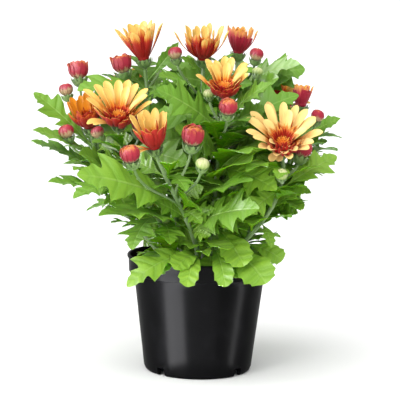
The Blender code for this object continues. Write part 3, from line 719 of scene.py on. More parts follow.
SHOOTS: list[Shoot] = [
    Shoot(
        "left_high", (-13, 9), ((-20, 12, 150), (-50, 10, 228)), spot(-52, 10, 271),
        (-0.18, -0.1, 1), (22, 32), 34, 14,
        buds=[Bud(0.72, spot(-69, 5, 260), 17), Bud(0.84, spot(-37, 22, 272), 9, False)],
        leaves=[
            Leaf(0.8, spot(-109, -27, 250), (-0.1, -0.5, 0.85), 60),
            Leaf(0.9, spot(-22, 5, 293), (0.3, -0.9, 0.2), 15, "narrow", 0.8),
            Leaf(0.7, spot(-92, 28, 262), (-0.3, 0.3, 0.9), 50),
            Leaf(0.84, spot(-32, -15, 245), (0.1, -0.8, 0.6), 40),
            Leaf(0.6, spot(-21, -10, 218), (0, -0.8, 0.6), 50),
            Leaf(0.78, spot(-69, -25, 261), (-0.1, -0.7, 0.7), 45),
        ],
        rule_leaves=(8, 150),
    ),
    Shoot(
        "left", (-22, 1), ((-48, -4, 122), (-92, -16, 164)), spot(-97, -20, 213),
        (-0.22, -0.35, 0.9), (16, 44), 29, 14,
        buds=[
            Bud(0.74, spot(-109, -2, 254), 17),
            Bud(0.84, spot(-119, -8, 241), 12),
            Bud(0.8, spot(-115, -32, 206), 13),
        ],
        leaves=[
            Leaf(0.9, spot(-149, -10, 247), (-0.2, -0.45, 0.85), 20, width=0.8),
            Leaf(0.84, spot(-137, -47, 228), (-0.3, -0.4, 0.85), 25, "narrow", 1.1),
            Leaf(0.73, spot(-149, -32, 206), (-0.2, -0.35, 0.9), 25, width=0.85),
            Leaf(0.53, spot(-132, -48, 172), (-0.25, -0.45, 0.9), 40, width=0.9),
            Leaf(0.6, spot(-118, 30, 190), (-0.5, 0.3, 0.8), 50),
            Leaf(0.64, spot(-104, -72, 200), (0.1, -0.7, 0.7), 50, "narrow", 1.2),
            Leaf(0.58, spot(-102, 5, 217), (-0.2, -0.7, 0.7), 45),
            Leaf(0.25, spot(-41, -10, 125), (0, -0.8, 0.6), 50),
        ],
        rule_leaves=(6, 100),
    ),
    Shoot(
        "front_left", (-14, -12), ((-26, -26, 130), (-66, -42, 176)), spot(-72, -48, 219),
        (0.05, -0.5, 0.87), (38, 60), 36, 18, open=True,
        buds=[Bud(0.84, spot(-87, -40, 208), 11), Bud(0.78, spot(-55, -36, 211), 16)],
        leaves=[
            Leaf(0.62, spot(-107, -84, 167), (-0.3, -0.5, 0.85), 45, width=0.9),
            Leaf(0.4, spot(-57, -88, 121), (-0.3, -0.8, 0.5), 60, width=0.95),
            Leaf(0.8, spot(-92, -86, 211), (-0.1, -0.4, 0.9), 40, "narrow"),
            Leaf(0.72, spot(-110, -52, 193), (-0.3, -0.4, 0.85), 40, "narrow"),
        ],
        rule_leaves=(8, 60),
    ),
    Shoot(
        "front", (0, -19), ((3, -38, 126), (-26, -70, 166)), spot(-38, -84, 202),
        (-0.16, -0.36, 0.92), (14, 36), 31, 14,
        buds=[
            Bud(0.56, spot(-56, -99, 192), 16),
            Bud(0.66, spot(-9, -88, 205), 18),
            Bud(0.6, spot(0, -96, 190), 11, False),
        ],
        leaves=[
            Leaf(0.58, spot(-102, -116, 187), (-0.12, -0.75, 0.65), 35, pale=0.05),
            Leaf(0.36, spot(-84, -108, 152), (-0.15, -0.4, 0.9), 45, width=0.9),
            Leaf(0.5, spot(43, -102, 183), (0.1, -0.35, 0.9), 40, width=0.85),
            Leaf(0.4, spot(49, -104, 160), (0.05, -0.75, 0.65), 35, width=0.95, pale=-0.25),
            Leaf(0.16, spot(-61, -82, 88), (-0.25, -0.8, 0.6), 75, width=0.72),
            Leaf(0.08, spot(-8, -98, 90), (-0.1, -0.9, 0.5), 85, "spoon", 0.7, slim=0.8),
            Leaf(0.28, spot(24, -86, 122), (0, -0.3, 0.95), 30, "spoon", 0.9),
        ],
        rule_leaves=(4, 260),
    ),
    Shoot(
        "middle_high", (-2, 13), ((-2, 16, 150), (0, 16, 220)), spot(0, 15, 272),
        (-0.02, -0.2, 0.98), (28, 42), 33, 16,
        buds=[Bud(0.8, spot(-23, 0, 275), 12)],
        leaves=[
            Leaf(0.92, spot(-20, -10, 281), (0.2, -0.6, 0.75), 30, "narrow", 0.9),
            Leaf(0.82, spot(-38, -36, 264), (0, -0.5, 0.85), 45, width=0.9),
            Leaf(0.88, spot(27, 2, 284), (0.1, -0.4, 0.9), 30, "narrow"),
            Leaf(0.7, spot(-44, -24, 238), (0, -0.7, 0.7), 45),
            Leaf(0.46, spot(-42, -18, 170), (0, -0.8, 0.6), 50),
            Leaf(0.84, spot(44, -8, 258), (0.1, -0.7, 0.7), 45),
            Leaf(0.42, spot(-13, 5, 172), (0, -0.8, 0.6), 50),
            Leaf(0.76, spot(8, -12, 260), (0, -0.8, 0.6), 40),
        ],
        rule_leaves=(7, 20),
    ),
    Shoot(
        "right_high", (10, 15), ((12, 22, 150), (30, 42, 222)), spot(31, 44, 277),
        (0.12, -0.05, 1), (20, 30), 25, 14,
        buds=[Bud(0.8, spot(46, 12, 275), 12)],
        leaves=[
            # Its pale of 3.4 gives this leaf a whitish painted sheen.
            Leaf(0.84, spot(86, 4, 276), (0.2, -0.6, 0.75), 30, width=0.9, pale=3.4),
            Leaf(0.76, spot(76, 60, 262), (0.3, 0.3, 0.9), 50),
            Leaf(0.9, spot(2, 72, 276), (0, 0.4, 0.9), 45, "narrow"),
            Leaf(0.72, spot(74, -5, 262), (0.1, -0.8, 0.6), 45),
        ],
        rule_leaves=(8, 200),
    ),
    Shoot(
        "middle", (8, -3), ((10, -12, 140), (16, -42, 200)), spot(18, -44, 246),
        (0.02, -0.55, 0.84), (30, 52), 29, 17, open=True,
        buds=[
            Bud(0.74, spot(21, -76, 232), 15),
            Bud(0.82, spot(6, -46, 246), 9, False),
            Bud(0.8, spot(47, -10, 264), 9, False),
        ],
        leaves=[
            Leaf(0.8, spot(-39, -76, 256), (-0.1, -0.75, 0.6), 35),
            Leaf(0.7, spot(-6, -96, 229), (-0.1, -0.5, 0.85), 45, "narrow"),
            Leaf(0.84, spot(59, -62, 262), (0.15, -0.5, 0.85), 35, width=0.9),
            Leaf(0.76, spot(84, -22, 250), (0.1, -0.4, 0.9), 35, width=0.9),
            Leaf(0.56, spot(37, -106, 211), (0.05, -0.45, 0.85), 45, width=0.9),
            Leaf(0.52, spot(-42, -44, 204), (-0.1, -0.75, 0.65), 45),
            Leaf(0.5, spot(56, -46, 186), (0.1, -0.75, 0.65), 45),
            Leaf(0.6, spot(44, -20, 201), (0.1, -0.75, 0.65), 45),
            Leaf(0.45, spot(53, -30, 183), (0.1, -0.75, 0.65), 45),
            Leaf(0.26, spot(38, -78, 107), (0.1, -0.8, 0.6), 55, "spoon", 0.9),
            Leaf(0.14, spot(22, -90, 96), (0.1, -0.85, 0.5), 65, "spoon", 0.8, slim=0.62),
        ],
        rule_leaves=(5, 30),
    ),
    Shoot(
        "front_right", (17, -13), ((32, -26, 122), (80, -56, 152)), spot(69, -56, 202),
        (0, -0.7, 0.72), (42, 66), 37, 20, open=True,
        buds=[Bud(0.82, spot(84, -46, 193), 16), Bud(0.84, spot(68, -80, 182), 10, False)],
        leaves=[
            Leaf(0.76, spot(118, -32, 198), (0.15, -0.6, 0.75), 25, width=0.95),
            Leaf(0.6, spot(90, -52, 170), (0.2, -0.5, 0.85), 40, width=0.9),
            Leaf(0.86, spot(38, -96, 190), (-0.2, -0.3, 0.9), 75, width=0.85),
            Leaf(0.9, spot(62, -98, 190), (0.1, -0.4, 0.9), 40, "narrow"),
            Leaf(0.5, spot(62, -58, 120), (0.3, -0.8, 0.5), 60, "narrow", 1.2),
            Leaf(0.3, spot(72, -50, 108), (0.2, -0.75, 0.65), 60, "spoon", 1.1),
            Leaf(0.16, spot(45, -84, 86), (0.1, -0.8, 0.6), 80, "spoon", 1.1),
        ],
        rule_leaves=(4, 80),
    ),
    Shoot(
        "right", (23, 4), ((42, 2, 128), (86, -4, 174)), spot(87, 0, 233),
        (0.06, -0.1, 1), (12, 18), 18, 12,
        buds=[Bud(0.84, spot(99, -26, 225), 11)],
        leaves=[
            Leaf(0.84, spot(122, -16, 230), (0.1, -0.6, 0.8), 20, "narrow", 1.1),
            Leaf(0.6, spot(96, -12, 176), (0.2, -0.4, 0.9), 35, width=0.9),
            Leaf(0.72, spot(124, 34, 196), (0.4, 0.3, 0.85), 45),
            Leaf(0.54, spot(52, -40, 172), (0, -0.8, 0.6), 50),
            Leaf(0.36, spot(80, 18, 138), (0.5, 0.1, 0.85), 60),
        ],
        rule_leaves=(6, 330),
    ),
    Shoot(
        "back_left", (-13, 24), ((-26, 34, 130), (-60, 66, 186)), spot(-62, 72, 228),
        (-0.35, 0.5, 0.8), (38, 58), 32, 17, open=True,
        buds=[Bud(0.76, spot(-94, 50, 222), 14), Bud(0.8, spot(-34, 100, 218), 15)],
        rule_leaves=(10, 40),
    ),
    Shoot(
        "back", (3, 27), ((4, 44, 130), (4, 92, 168)), spot(5, 96, 218),
        (0.05, 0.6, 0.8), (18, 38), 30, 14,
        buds=[Bud(0.78, spot(32, 114, 206), 14)],
        rule_leaves=(9, 10),
    ),
    Shoot(
        "back_right", (19, 21), ((34, 32, 130), (64, 66, 180)), spot(64, 68, 226),
        (0.35, 0.45, 0.82), (38, 60), 32, 17, open=True,
        buds=[Bud(0.8, spot(100, 50, 210), 14)],
        rule_leaves=(10, 300),
    ),
]

SOIL_LEVEL = 87 * MM
PLANTING_DEPTH = 22 * MM
STEM_FOOT_RADIUS = 2.5 * MM
STEM_NECK_RADIUS = 1.5 * MM
STALK_RADIUS = 1.1 * MM
BLOOM_CUP_WIDTH = 11 * MM
BLOOM_CUP_HEIGHT = 6 * MM
SEAT_GAP = 0.3 * MM
SEAT_HOLLOW = 0.9
GREEN_BUD_SEAT = 0.35
LEAF_FOLD = math.radians(14)
LEAF_CUP = 0.5
LEAF_LENGTHS = (1.0, 0.82, 0.66)
LEAF_SWING = 0.042
LEAF_TRIES = 120
LEAF_MATCH = 0.9 * MM
CROWN_RADIUS = 125 * MM
CROWN_MIDDLE = 225 * MM
CROWN_HALF_HEIGHT = 120 * MM
CROWN_LEAST = 0.28
CORNERS = {
    "lobed": ((0.46, 0.21), (0.57, 0.13), (0.78, 0.24)),
    "spoon": ((0.62, 0.17), (0.86, 0.2)),
    "narrow": ((0.26, 0.03), (0.6, 0.18)),
}


class Path:
    """A cubic Bezier curve."""

    def __init__(self, *points: Vector) -> None:
        """Sets the curve's four points."""
        self.points = [Vector(point) for point in points]

    def at(self, t: float) -> Vector:
        """The place at a share of the curve.

        Args:
            t: the share.

        Returns:
            The place.
        """
        a, b, c, d = self.points
        s = 1 - t
        return a * s**3 + b * (3 * s * s * t) + c * (3 * s * t * t) + d * t**3

    def heading(self, t: float) -> Vector:
        """The direction at a share of the curve.

        Args:
            t: the share.

        Returns:
            The direction, of unit length.
        """
        a, b, c, d = self.points
        s = 1 - t
        return ((b - a) * (s * s) + (c - b) * (2 * s * t) + (d - c) * (t * t)).normalized()


def main_path(shoot: Shoot) -> Path:
    """The stem's path, from the soil to the foot of the bract cup."""
    root = spot(*shoot.root, 0) + UP * SOIL_LEVEL
    return Path(root, *(spot(*place) for place in shoot.guide), shoot.foot)


def bud_axis(stem: Path, bud: Bud) -> Vector:
    """A bud looks up and out, away from its stem."""
    out = (bud.foot - stem.at(bud.at)).normalized()
    return (out * 0.5 + UP * 0.8).normalized()


def stalk_path(stem: Path, bud: Bud) -> Path:
    """A side stalk's path: it leaves the stem at an acute angle and turns up to the bud.

    Args:
        stem: the path of the stem.
        bud: the bud at its end.

    Returns:
        The path.
    """
    start = stem.at(bud.at)
    run = bud.foot - start
    leave = (stem.heading(bud.at) + run.normalized() * 1.6).normalized()
    bend = run.length * 0.35
    return Path(start, start + leave * bend, bud.foot - bud_axis(stem, bud) * bend, bud.foot)


@dataclass(frozen=True)
class Head:
    """The bract cup under a bloom or bud: its foot, its axis and its size."""

    foot: Vector
    axis: Vector
    width: float
    height: float

    def standing_at(self, lift: float) -> Placer:
        """Where something stands on the cup's axis.

        Args:
            lift: how far above the cup's foot it stands.

        Returns:
            A function that takes points from the head's own frame to the plant's.
        """
        turn = np.array(UP.rotation_difference(self.axis).to_matrix())
        foot = np.array(self.foot + self.axis * lift)
        return lambda points: points @ turn.T + foot

    @property
    def seat(self) -> Placer:
        """Where the bloom or bud stands, just clear of the hollow in the cup."""
        return self.standing_at(self.height * SEAT_HOLLOW + SEAT_GAP)


def bloom_head(shoot: Shoot) -> Head:
    """The cup of a shoot's bloom."""
    return Head(shoot.foot, Vector(shoot.facing).normalized(), BLOOM_CUP_WIDTH, BLOOM_CUP_HEIGHT)


def bud_head(stem: Path, bud: Bud) -> Head:
    """The cup of a bud, in proportion to it."""
    width = bud.width * MM
    return Head(bud.foot, bud_axis(stem, bud), width * 0.74, width * 0.34)


class Blade:
    """A leaf blade's surface: it arches from base to tip, and its halves fold up along the midrib."""

    def __init__(self, base: Vector, tip: Vector, leaf: Leaf) -> None:
        """Lays the blade out.

        Args:
            base: where the leaf grows from.
            tip: where its tip is.
            leaf: its facing, arch, outline and width.
        """
        chord = tip - base
        face = Vector(leaf.face)
        along = chord.normalized()
        normal = (face - along * face.dot(along)).normalized()
        self.leaf = leaf
        self.tip_height = tip.z
        self.base = np.array(base)
        self.along = np.array(along)
        self.normal = np.array(normal)
        self.side = np.array(along.cross(normal))
        self.arch = math.radians(leaf.arch)
        self.radius = chord.length / (2 * math.sin(self.arch / 2))
        self.length = self.radius * self.arch

    def place(self, flat: np.ndarray) -> np.ndarray:
        """Bends flat points onto the blade.

        Args:
            flat: rows of share along, distance out and lift, all as shares of the leaf's length.

        Returns:
            The places on the plant.
        """
        share, out, lift = flat.T[:, :, None]
        half = self.arch / 2
        turn = self.arch * share - half
        spine = self.along * (np.sin(turn) + math.sin(half)) + self.normal * (np.cos(turn) - math.cos(half))
        rise = self.normal * np.cos(turn) + self.along * np.sin(turn)
        out = out * self.leaf.width
        raised = np.abs(out) * math.sin(LEAF_FOLD) - LEAF_CUP * out * out + lift
        across = self.side * out * math.cos(LEAF_FOLD) + rise * raised
        return self.base + spine * self.radius + across * self.length

    def corners(self) -> np.ndarray:
        """The tip and the corners of both margins, by which a blade is told from its neighbours."""
        rim = [(share, side * out, 0) for share, out in CORNERS[self.leaf.kind] for side in (1, -1)]
        return self.place(np.array([(1, 0, 0), *rim], dtype=float))


def blades(base: Vector, leaf: Leaf) -> Iterator[Blade]:
    """A leaf's blade as laid out, then swung ever further round its base, and then shorter.

    Args:
        base: where the leaf grows from.
        leaf: the leaf as laid out.

    Yields:
        The blades to try, in order.
    """
    chord = leaf.tip - base
    across = chord.cross(Vector(leaf.face)).normalized()
    for length in LEAF_LENGTHS:
        for step in range(LEAF_TRIES):
            swing = LEAF_SWING * math.sqrt(step)
            bearing = GOLDEN_ANGLE * step
            round_stem = Matrix.Rotation(swing * math.cos(bearing), 3, UP)
            up_or_down = Matrix.Rotation(swing * math.sin(bearing), 3, across)
            yield Blade(base, base + up_or_down @ round_stem @ chord * length, leaf)


def crown_radius(height: float) -> float:
    """How far out the crown of leaves reaches at a height."""
    share = (height - CROWN_MIDDLE) / CROWN_HALF_HEIGHT
    return CROWN_RADIUS * math.sqrt(max(1 - share * share, CROWN_LEAST))


def ruled_leaves(shoot: Shoot, stem: Path) -> Iterator[Leaf]:
    """Leaves round a stem at the golden angle, smaller towards the bloom, each facing up and out.

    Args:
        shoot: the shoot that they grow on.
        stem: its path.

    Yields:
        The leaves from the lowest up.
    """
    count, first = shoot.rule_leaves
    for k in range(count):
        at = 0.12 + 0.76 * (k + 0.5) / count
        base = stem.at(at)
        bearing = math.radians(first) + GOLDEN_ANGLE * k
        away = Vector((math.cos(bearing), math.sin(bearing), 0)) + base.xy.to_3d() / (60 * MM)
        out = away.normalized()
        tip = base + (out + UP * (0.05 + 0.5 * at)).normalized() * (74 - 34 * at) * MM
        tip -= out * max(tip.xy.length - crown_radius(tip.z), 0)
        yield Leaf(at, tip, out * 0.7 + UP * 0.75, 58, "lobed" if at < 0.7 else "narrow")


def node_tree(node: str) -> BVHTree:
    """A search tree of a node's faces.

    Args:
        node: the node's name.

    Returns:
        The tree.
    """
    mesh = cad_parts[node].data
    corners = [vert.co for vert in mesh.vertices]
    return BVHTree.FromPolygons(corners, [tuple(face.vertices) for face in mesh.polygons])


def found_blades(shoot: Shoot, stem: Path, node: str) -> list[Blade]:
    """Finds a shoot's leaves again on its node.

    Args:
        shoot: the shoot.
        stem: its path.
        node: the node that holds its leaves.

    Returns:
        The blades that the node has. A leaf that found no room on it is left out.
    """
    tree = node_tree(node)
    found = []
    for leaf in (*shoot.leaves, *ruled_leaves(shoot, stem)):
        for blade in blades(stem.at(leaf.at), leaf):
            if all(tree.find_nearest(corner)[3] < LEAF_MATCH for corner in blade.corners()):
                found.append(blade)
                break
    log.info("%s: %d leaves found", node, len(found))
    return found


# Pieces that are modelled once and copied


ROOM_SHARES = np.linspace(0.3, 1.0, 8)
ROOM_WIDTHS = np.array([0.05, 0.2, 0.24, 0.16, 0.24, 0.22, 0.14, 0.0])


class Room:
    """The space that is taken, in which further leaves look for a place.

    A leaf takes the place of a plain blade, with half its width at ROOM_SHARES of its length in ROOM_WIDTHS.
    """

    def __init__(self) -> None:
        """Takes in every node's solid."""
        self.trees: list[BVHTree] = []
        self.balls: list[tuple[float, ...]] = []
        for name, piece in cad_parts.items():
            corners = np.array([vert.co for vert in piece.data.vertices])
            self.take(node_tree(name), corners)

    def take(self, tree: BVHTree, corners: np.ndarray) -> None:
        """Takes the place of a shape.

        Args:
            tree: the search tree of its faces.
            corners: its corners.
        """
        middle = (corners.min(axis=0) + corners.max(axis=0)) / 2
        self.trees.append(tree)
        self.balls.append((*middle, np.linalg.norm(corners - middle, axis=1).max()))

    def takes(self, blade: Blade) -> bool:
        """Whether a blade is clear of every node and leaf so far. If it is, its place is taken.

        Args:
            blade: the blade to try.

        Returns:
            Whether it found room.
        """
        rows = zip(ROOM_SHARES, ROOM_WIDTHS)
        flat = [(share, side * width, 0) for share, width in rows for side in (-1, 0, 1)]
        corners = blade.place(np.array(flat))
        faces = [(i + j, i + j + 1, i + j + 4, i + j + 3) for i in range(0, 21, 3) for j in (0, 1)]
        tree = BVHTree.FromPolygons([Vector(corner) for corner in corners], faces)
        balls = np.array(self.balls)
        middle = corners.mean(axis=0)
        reach = np.linalg.norm(corners - middle, axis=1).max()
        near = np.linalg.norm(balls[:, :3] - middle, axis=1) < balls[:, 3] + reach
        if any(tree.overlap(self.trees[index]) for index in np.flatnonzero(near)):
            return False
        self.take(tree, corners)
        return True


CHOSEN = {
    "front_left": (
        Leaf(0.06, spot(-26, -71, 90), (-0.3, -0.85, 0.45), 85, "spoon", 0.85, pale=-0.35),
        Leaf(0.10, spot(-48, -62, 96), (-0.5, -0.7, 0.5), 75, "spoon", 0.9, pale=-0.25),
    ),
    "front_right": (
        Leaf(0.06, spot(32, -72, 90), (0.2, -0.9, 0.45), 85, "spoon", 0.85, pale=-0.3),
    ),
    "front": (
        Leaf(0.07, spot(-15, -88, 78), (-0.2, -0.9, 0.4), 80, "spoon", 0.8, slim=0.8),
        Leaf(0.12, spot(12, -92, 98), (0.1, -0.9, 0.5), 60, "narrow", 0.9, slim=0.8),
    ),
    "middle_high": (
        # Its pale lightens this leaf, which lies in shade: painted light.
        Leaf(0.50, spot(40, -60, 205), (0, -0.8, 0.6), 35, "lobed", 1.25, pale=0.7),
    ),
    "middle": (
        Leaf(0.08, spot(7, -77, 90), (0.1, -0.9, 0.4), 85, "spoon", 0.85, pale=-0.35),
        # Their pale lightens these leaves, which lie in shade: painted light.
        Leaf(0.50, spot(38, -96, 202), (-0.1, -0.6, 0.8), 40, "lobed", 1.2, pale=0.7),
        Leaf(0.60, spot(64, -78, 178), (0.1, -0.8, 0.6), 40, "lobed", 1.1, pale=0.5),
    ),
}


def chosen_blades(shoot: Shoot, room: Room) -> Iterator[Blade]:
    """A few further leaves that the photograph shows, each where it first finds room.

    Args:
        shoot: the shoot that they grow on.
        room: the space that is taken.

    Yields:
        Their blades.
    """
    stem = main_path(shoot)
    for leaf in CHOSEN.get(shoot.name, ()):
        blade = next(filter(room.takes, blades(stem.at(leaf.at), leaf)), None)
        log.info("%s: a chosen leaf %s", shoot.name, "found room" if blade else "found no room")
        if blade:
            yield blade


@dataclass(frozen=True)
class Planting:
    """The leaves that fill the crown's gaps, the big ones first, drawn by chance where there is room.

    A round has its number of tries, the shortest and the longest leaf in mm, the most leaves that a shoot
    may have by then, and whether its leaves face out all round instead of mostly to the front. The view of a
    bloom or bud stays clear round its middle, so many mm above its foot.
    """

    rounds: tuple[tuple[int, float, float, int, bool], ...] = (
        (4200, 62, 84, 12, False),
        (4200, 44, 62, 24, False),
        (2400, 44, 66, 34, True),
        (2600, 30, 44, 42, False),
    )
    to_front: float = 0.55
    back: float = 50 * MM
    bloom_middle: float = 16
    bud_middle: float = 9
    view_round_bloom: float = 22 * MM
    view_round_bud: float = 14 * MM
    inside_crown: float = 4 * MM
    lowest_tip: float = 96 * MM

    def shown(self, shoots: Sequence[Shoot]) -> Iterator[tuple[Vector, float]]:
        """The blooms and buds that the photograph shows, which aren't far back.

        Args:
            shoots: the plant's shoots.

        Yields:
            The middle of each, and how far round it the view stays clear.
        """
        for shoot in shoots:
            if shoot.foot.y > self.back:
                continue
            facing = Vector(shoot.facing).normalized()
            yield shoot.foot + facing * self.bloom_middle * MM, self.view_round_bloom
            for bud in shoot.buds:
                axis = bud_axis(main_path(shoot), bud)
                yield bud.foot + axis * self.bud_middle * MM, self.view_round_bud

    def hides(self, blade: Blade, shown: Sequence[tuple[Vector, float]]) -> bool:
        """Whether a blade stands before a bloom or bud, as the photograph sees it.

        Args:
            blade: the blade.
            shown: the middles and the clear room round them.

        Returns:
            Whether it hides one.
        """
        x, y, z = blade.corners().T
        return any(
            ((y < middle.y) & (np.hypot(x - middle.x, z - middle.z) < room)).any() for middle, room in shown
        )

    def candidate(
        self, rng: np.random.Generator, stem: Path, shortest: float, longest: float, around: bool
    ) -> Blade:
        """Draws a leaf somewhere on a stem.

        Args:
            rng: where the draws come from.
            stem: the stem's path.
            shortest: the least length in mm.
            longest: the greatest length in mm.
            around: whether it faces out from the plant's middle.

        Returns:
            Its blade.
        """
        at = rng.uniform(0.06, 0.88)
        base = stem.at(at)
        bearing = rng.uniform(0, 2 * math.pi)
        face = Vector((math.cos(bearing), math.sin(bearing), 0)) * rng.uniform(-0.1, 0.8) + UP * 0.7
        rise = rng.uniform(-0.35, 0.7)
        if rng.uniform() < self.to_front or around:
            bearing = rng.choice((0.0, math.pi)) + rng.normal(0, 0.5)
            bearing = -abs(math.remainder(bearing, 2 * math.pi))
            face = Vector((rng.normal(0, 0.2), -0.8, 0.6))
            rise = rng.uniform(-0.6, 0.6)
        out = Vector((math.cos(bearing), math.sin(bearing), 0))
        if around:
            outward = math.atan2(base.y, base.x) + rng.normal(0, 0.6)
            turn = Matrix.Rotation(outward + math.pi / 2, 3, "Z")
            out, face = turn @ out, turn @ face
        length = rng.uniform(shortest, longest) * (1.08 - 0.3 * at) * MM
        tip = base + (out + UP * rise).normalized() * length
        kind = "lobed" if rng.uniform() < 0.8 else "narrow"
        return Blade(base, tip, Leaf(at, tip, face, rng.uniform(25, 65), kind, rng.uniform(1.05, 1.25)))

    def grow(self, shoots: Sequence[Shoot], room: Room) -> dict[str, list[Blade]]:
        """Grows them on all the shoots.

        Args:
            shoots: the plant's shoots.
            room: the space that is taken.

        Returns:
            For each shoot's name, the blades that found room.
        """
        rng = np.random.default_rng(SEED + 4)
        shown = list(self.shown(shoots))
        stems = [main_path(shoot) for shoot in shoots]
        grown: dict[str, list[Blade]] = {shoot.name: [] for shoot in shoots}
        for tries, shortest, longest, most, around in self.rounds:
            for number in range(tries):
                shoot = shoots[number % len(shoots)]
                blade = self.candidate(rng, stems[number % len(shoots)], shortest, longest, around)
                tip = blade.leaf.tip
                fits = tip.xy.length < crown_radius(tip.z) - self.inside_crown and tip.z > self.lowest_tip
                fits = fits and len(grown[shoot.name]) < most and not self.hides(blade, shown)
                if fits and room.takes(blade):
                    grown[shoot.name].append(blade)
            log.info("leaves up to %d mm: %d grown", longest, sum(map(len, grown.values())))
        return grown


class Blank:
    """A mesh modelled once at unit size, whose copies are placed into one piece."""

    def __init__(self, piece: Piece) -> None:
        """Takes the mesh over from its object.

        Args:
            piece: the modelled object, which is removed.
        """
        mesh = piece.data
        self.points = np.array([vert.co for vert in mesh.vertices], dtype=float)
        self.faces = [tuple(face.vertices) for face in mesh.polygons]
        corners = [self.points[index] for face in self.faces for index in face]
        self.pattern = np.array([(corner[0], corner[1] + 0.5) for corner in corners])
        bpy.data.objects.remove(piece)
        bpy.data.meshes.remove(mesh)

    def copies(self, name: str, placed: Sequence[np.ndarray], tones: Sequence[float]) -> Piece:
        """Makes one piece of many copies.

        Args:
            name: the piece's name.
            placed: for each copy, where all its points are.
            tones: for each copy, the tone that its finish varies by.

        Returns:
            The piece, with a UV map along and across each copy.
        """
        count = len(self.points)
        starts = range(0, count * len(placed), count)
        faces = [tuple(index + start for index in face) for start in starts for face in self.faces]
        mesh = bpy.data.meshes.new(name)
        mesh.from_pydata(np.concatenate(placed).tolist(), [], faces)
        mesh.uv_layers.new(name="UVMap").data.foreach_set("uv", np.tile(self.pattern.ravel(), len(placed)))
        tone = mesh.attributes.new("tone", "FLOAT", "POINT")
        tone.data.foreach_set("value", np.repeat(np.array(tones, dtype=float), count))
        return add_object(name, mesh)


@dataclass(frozen=True)
class Sheet:
    """A flat leaf, petal or bract of unit length along +X, made from the cross rows of a grid.

    A row has its share of the length and half its width. Its halves slant forward, and it is sunk where it is
    numbered as a vein.
    """

    name: str
    rows: tuple[Pair, ...]
    columns: int = 4
    slant: float = 0.0
    veins: tuple[int, ...] = ()
    sunk: float = 0.0

    def lighter(self) -> "Sheet":
        """The same outline in half as many rows and in 4 columns, for leaves that grow by the hundred."""
        veins = tuple(number // 2 for number in self.veins)
        return replace(self, name="light_" + self.name, rows=self.rows[::2], columns=4, veins=veins)

    def model(self) -> Blank:
        """Sets each row of a grid at its share of the length, widens it, and slants its halves forward.

        Returns:
            The blank.
        """
        cells = {"x_subdivisions": len(self.rows) - 1, "y_subdivisions": self.columns}
        piece = add_primitive(self.name, bpy.ops.mesh.primitive_grid_add, size=2, **cells)
        with editing(piece) as bm:
            verts = sorted(bm.verts, key=lambda vert: (round(vert.co.x, 5), vert.co.y))
            across = self.columns + 1
            lines = [verts[i : i + across] for i in range(0, len(verts), across)]
            for number, (line, (share, width)) in enumerate(zip(lines, self.rows)):
                pick(bm, set(line).__contains__)
                bpy.ops.transform.translate(value=(share - line[0].co.x, 0, 0))
                bpy.ops.transform.resize(value=(1, max(width, TINY), 1), center_override=(share, 0, 0))
                for half in (line[: across // 2], line[across // 2 + 1 :]):
                    self.slant_half(bm, half, share, number in self.veins)
            bpy.ops.mesh.select_all(action="SELECT")
            bpy.ops.mesh.remove_doubles(threshold=MERGE_DISTANCE)
        return Blank(piece)

    def slant_half(
        self, bm: bmesh.types.BMesh, half: list[bmesh.types.BMVert], share: float, vein: bool
    ) -> None:
        """Turns half a row forward round the midrib, and sinks it where a vein runs.

        Args:
            bm: the mesh in edit mode.
            half: the row's vertices on one side of the midrib.
            share: where the row meets the midrib.
            vein: whether a side vein runs along the row.
        """
        pick(bm, set(half).__contains__)
        if self.slant:
            sense = 1 if half[0].co.y > 0 else -1
            bpy.ops.transform.rotate(
                value=sense * self.slant, orient_axis="Z", orient_type="GLOBAL", center_override=(share, 0, 0)
            )
        if vein:
            bpy.ops.transform.translate(value=(0, 0, -self.sunk))


def turn_up(name: str, stations: Sequence[Pair], sides: int) -> Piece:
    """Extrudes a ring up through stations and closes it at both ends on its axis.

    Args:
        name: the piece's name.
        stations: radii and heights, in metres. The first and the last radius are 0.
        sides: how many corners the ring has.

    Returns:
        The turned piece.
    """
    radius, height = TINY, stations[0][1]
    ring = {"vertices": sides, "radius": radius, "location": (0, 0, height)}
    piece = add_primitive(name, bpy.ops.mesh.primitive_circle_add, **ring)
    bpy.ops.object.transform_apply(location=True)
    with editing(piece):
        bpy.ops.mesh.select_all(action="SELECT")
        for next_radius, next_height in stations[1:]:
            next_radius = max(next_radius, TINY)
            rise = (0, 0, next_height - height)
            bpy.ops.mesh.extrude_region_move(TRANSFORM_OT_translate={"value": rise})
            size = next_radius / radius
            bpy.ops.transform.resize(value=(size, size, 1), center_override=(0, 0, next_height))
            radius, height = next_radius, next_height
        bpy.ops.mesh.select_all(action="SELECT")
        bpy.ops.mesh.remove_doubles(threshold=MERGE_DISTANCE)
        bpy.ops.mesh.normals_make_consistent(inside=False)
    return piece


def pointed(origin: Vector, heading: Vector, length: float, width: float) -> Placer:
    """Where a slim copy goes that points along its +Z.

    Args:
        origin: its foot.
        heading: where it points.
        length: its scale along.
        width: its scale across.

    Returns:
        A function from the blank's points to the plant's.
    """
    turn = np.array(UP.rotation_difference(heading).to_matrix())
    size = np.array((width, width, length))
    return lambda points: (points * size) @ turn.T + np.array(origin)


STRAP_STEPS = 60
BALL_HEIGHT = 0.92


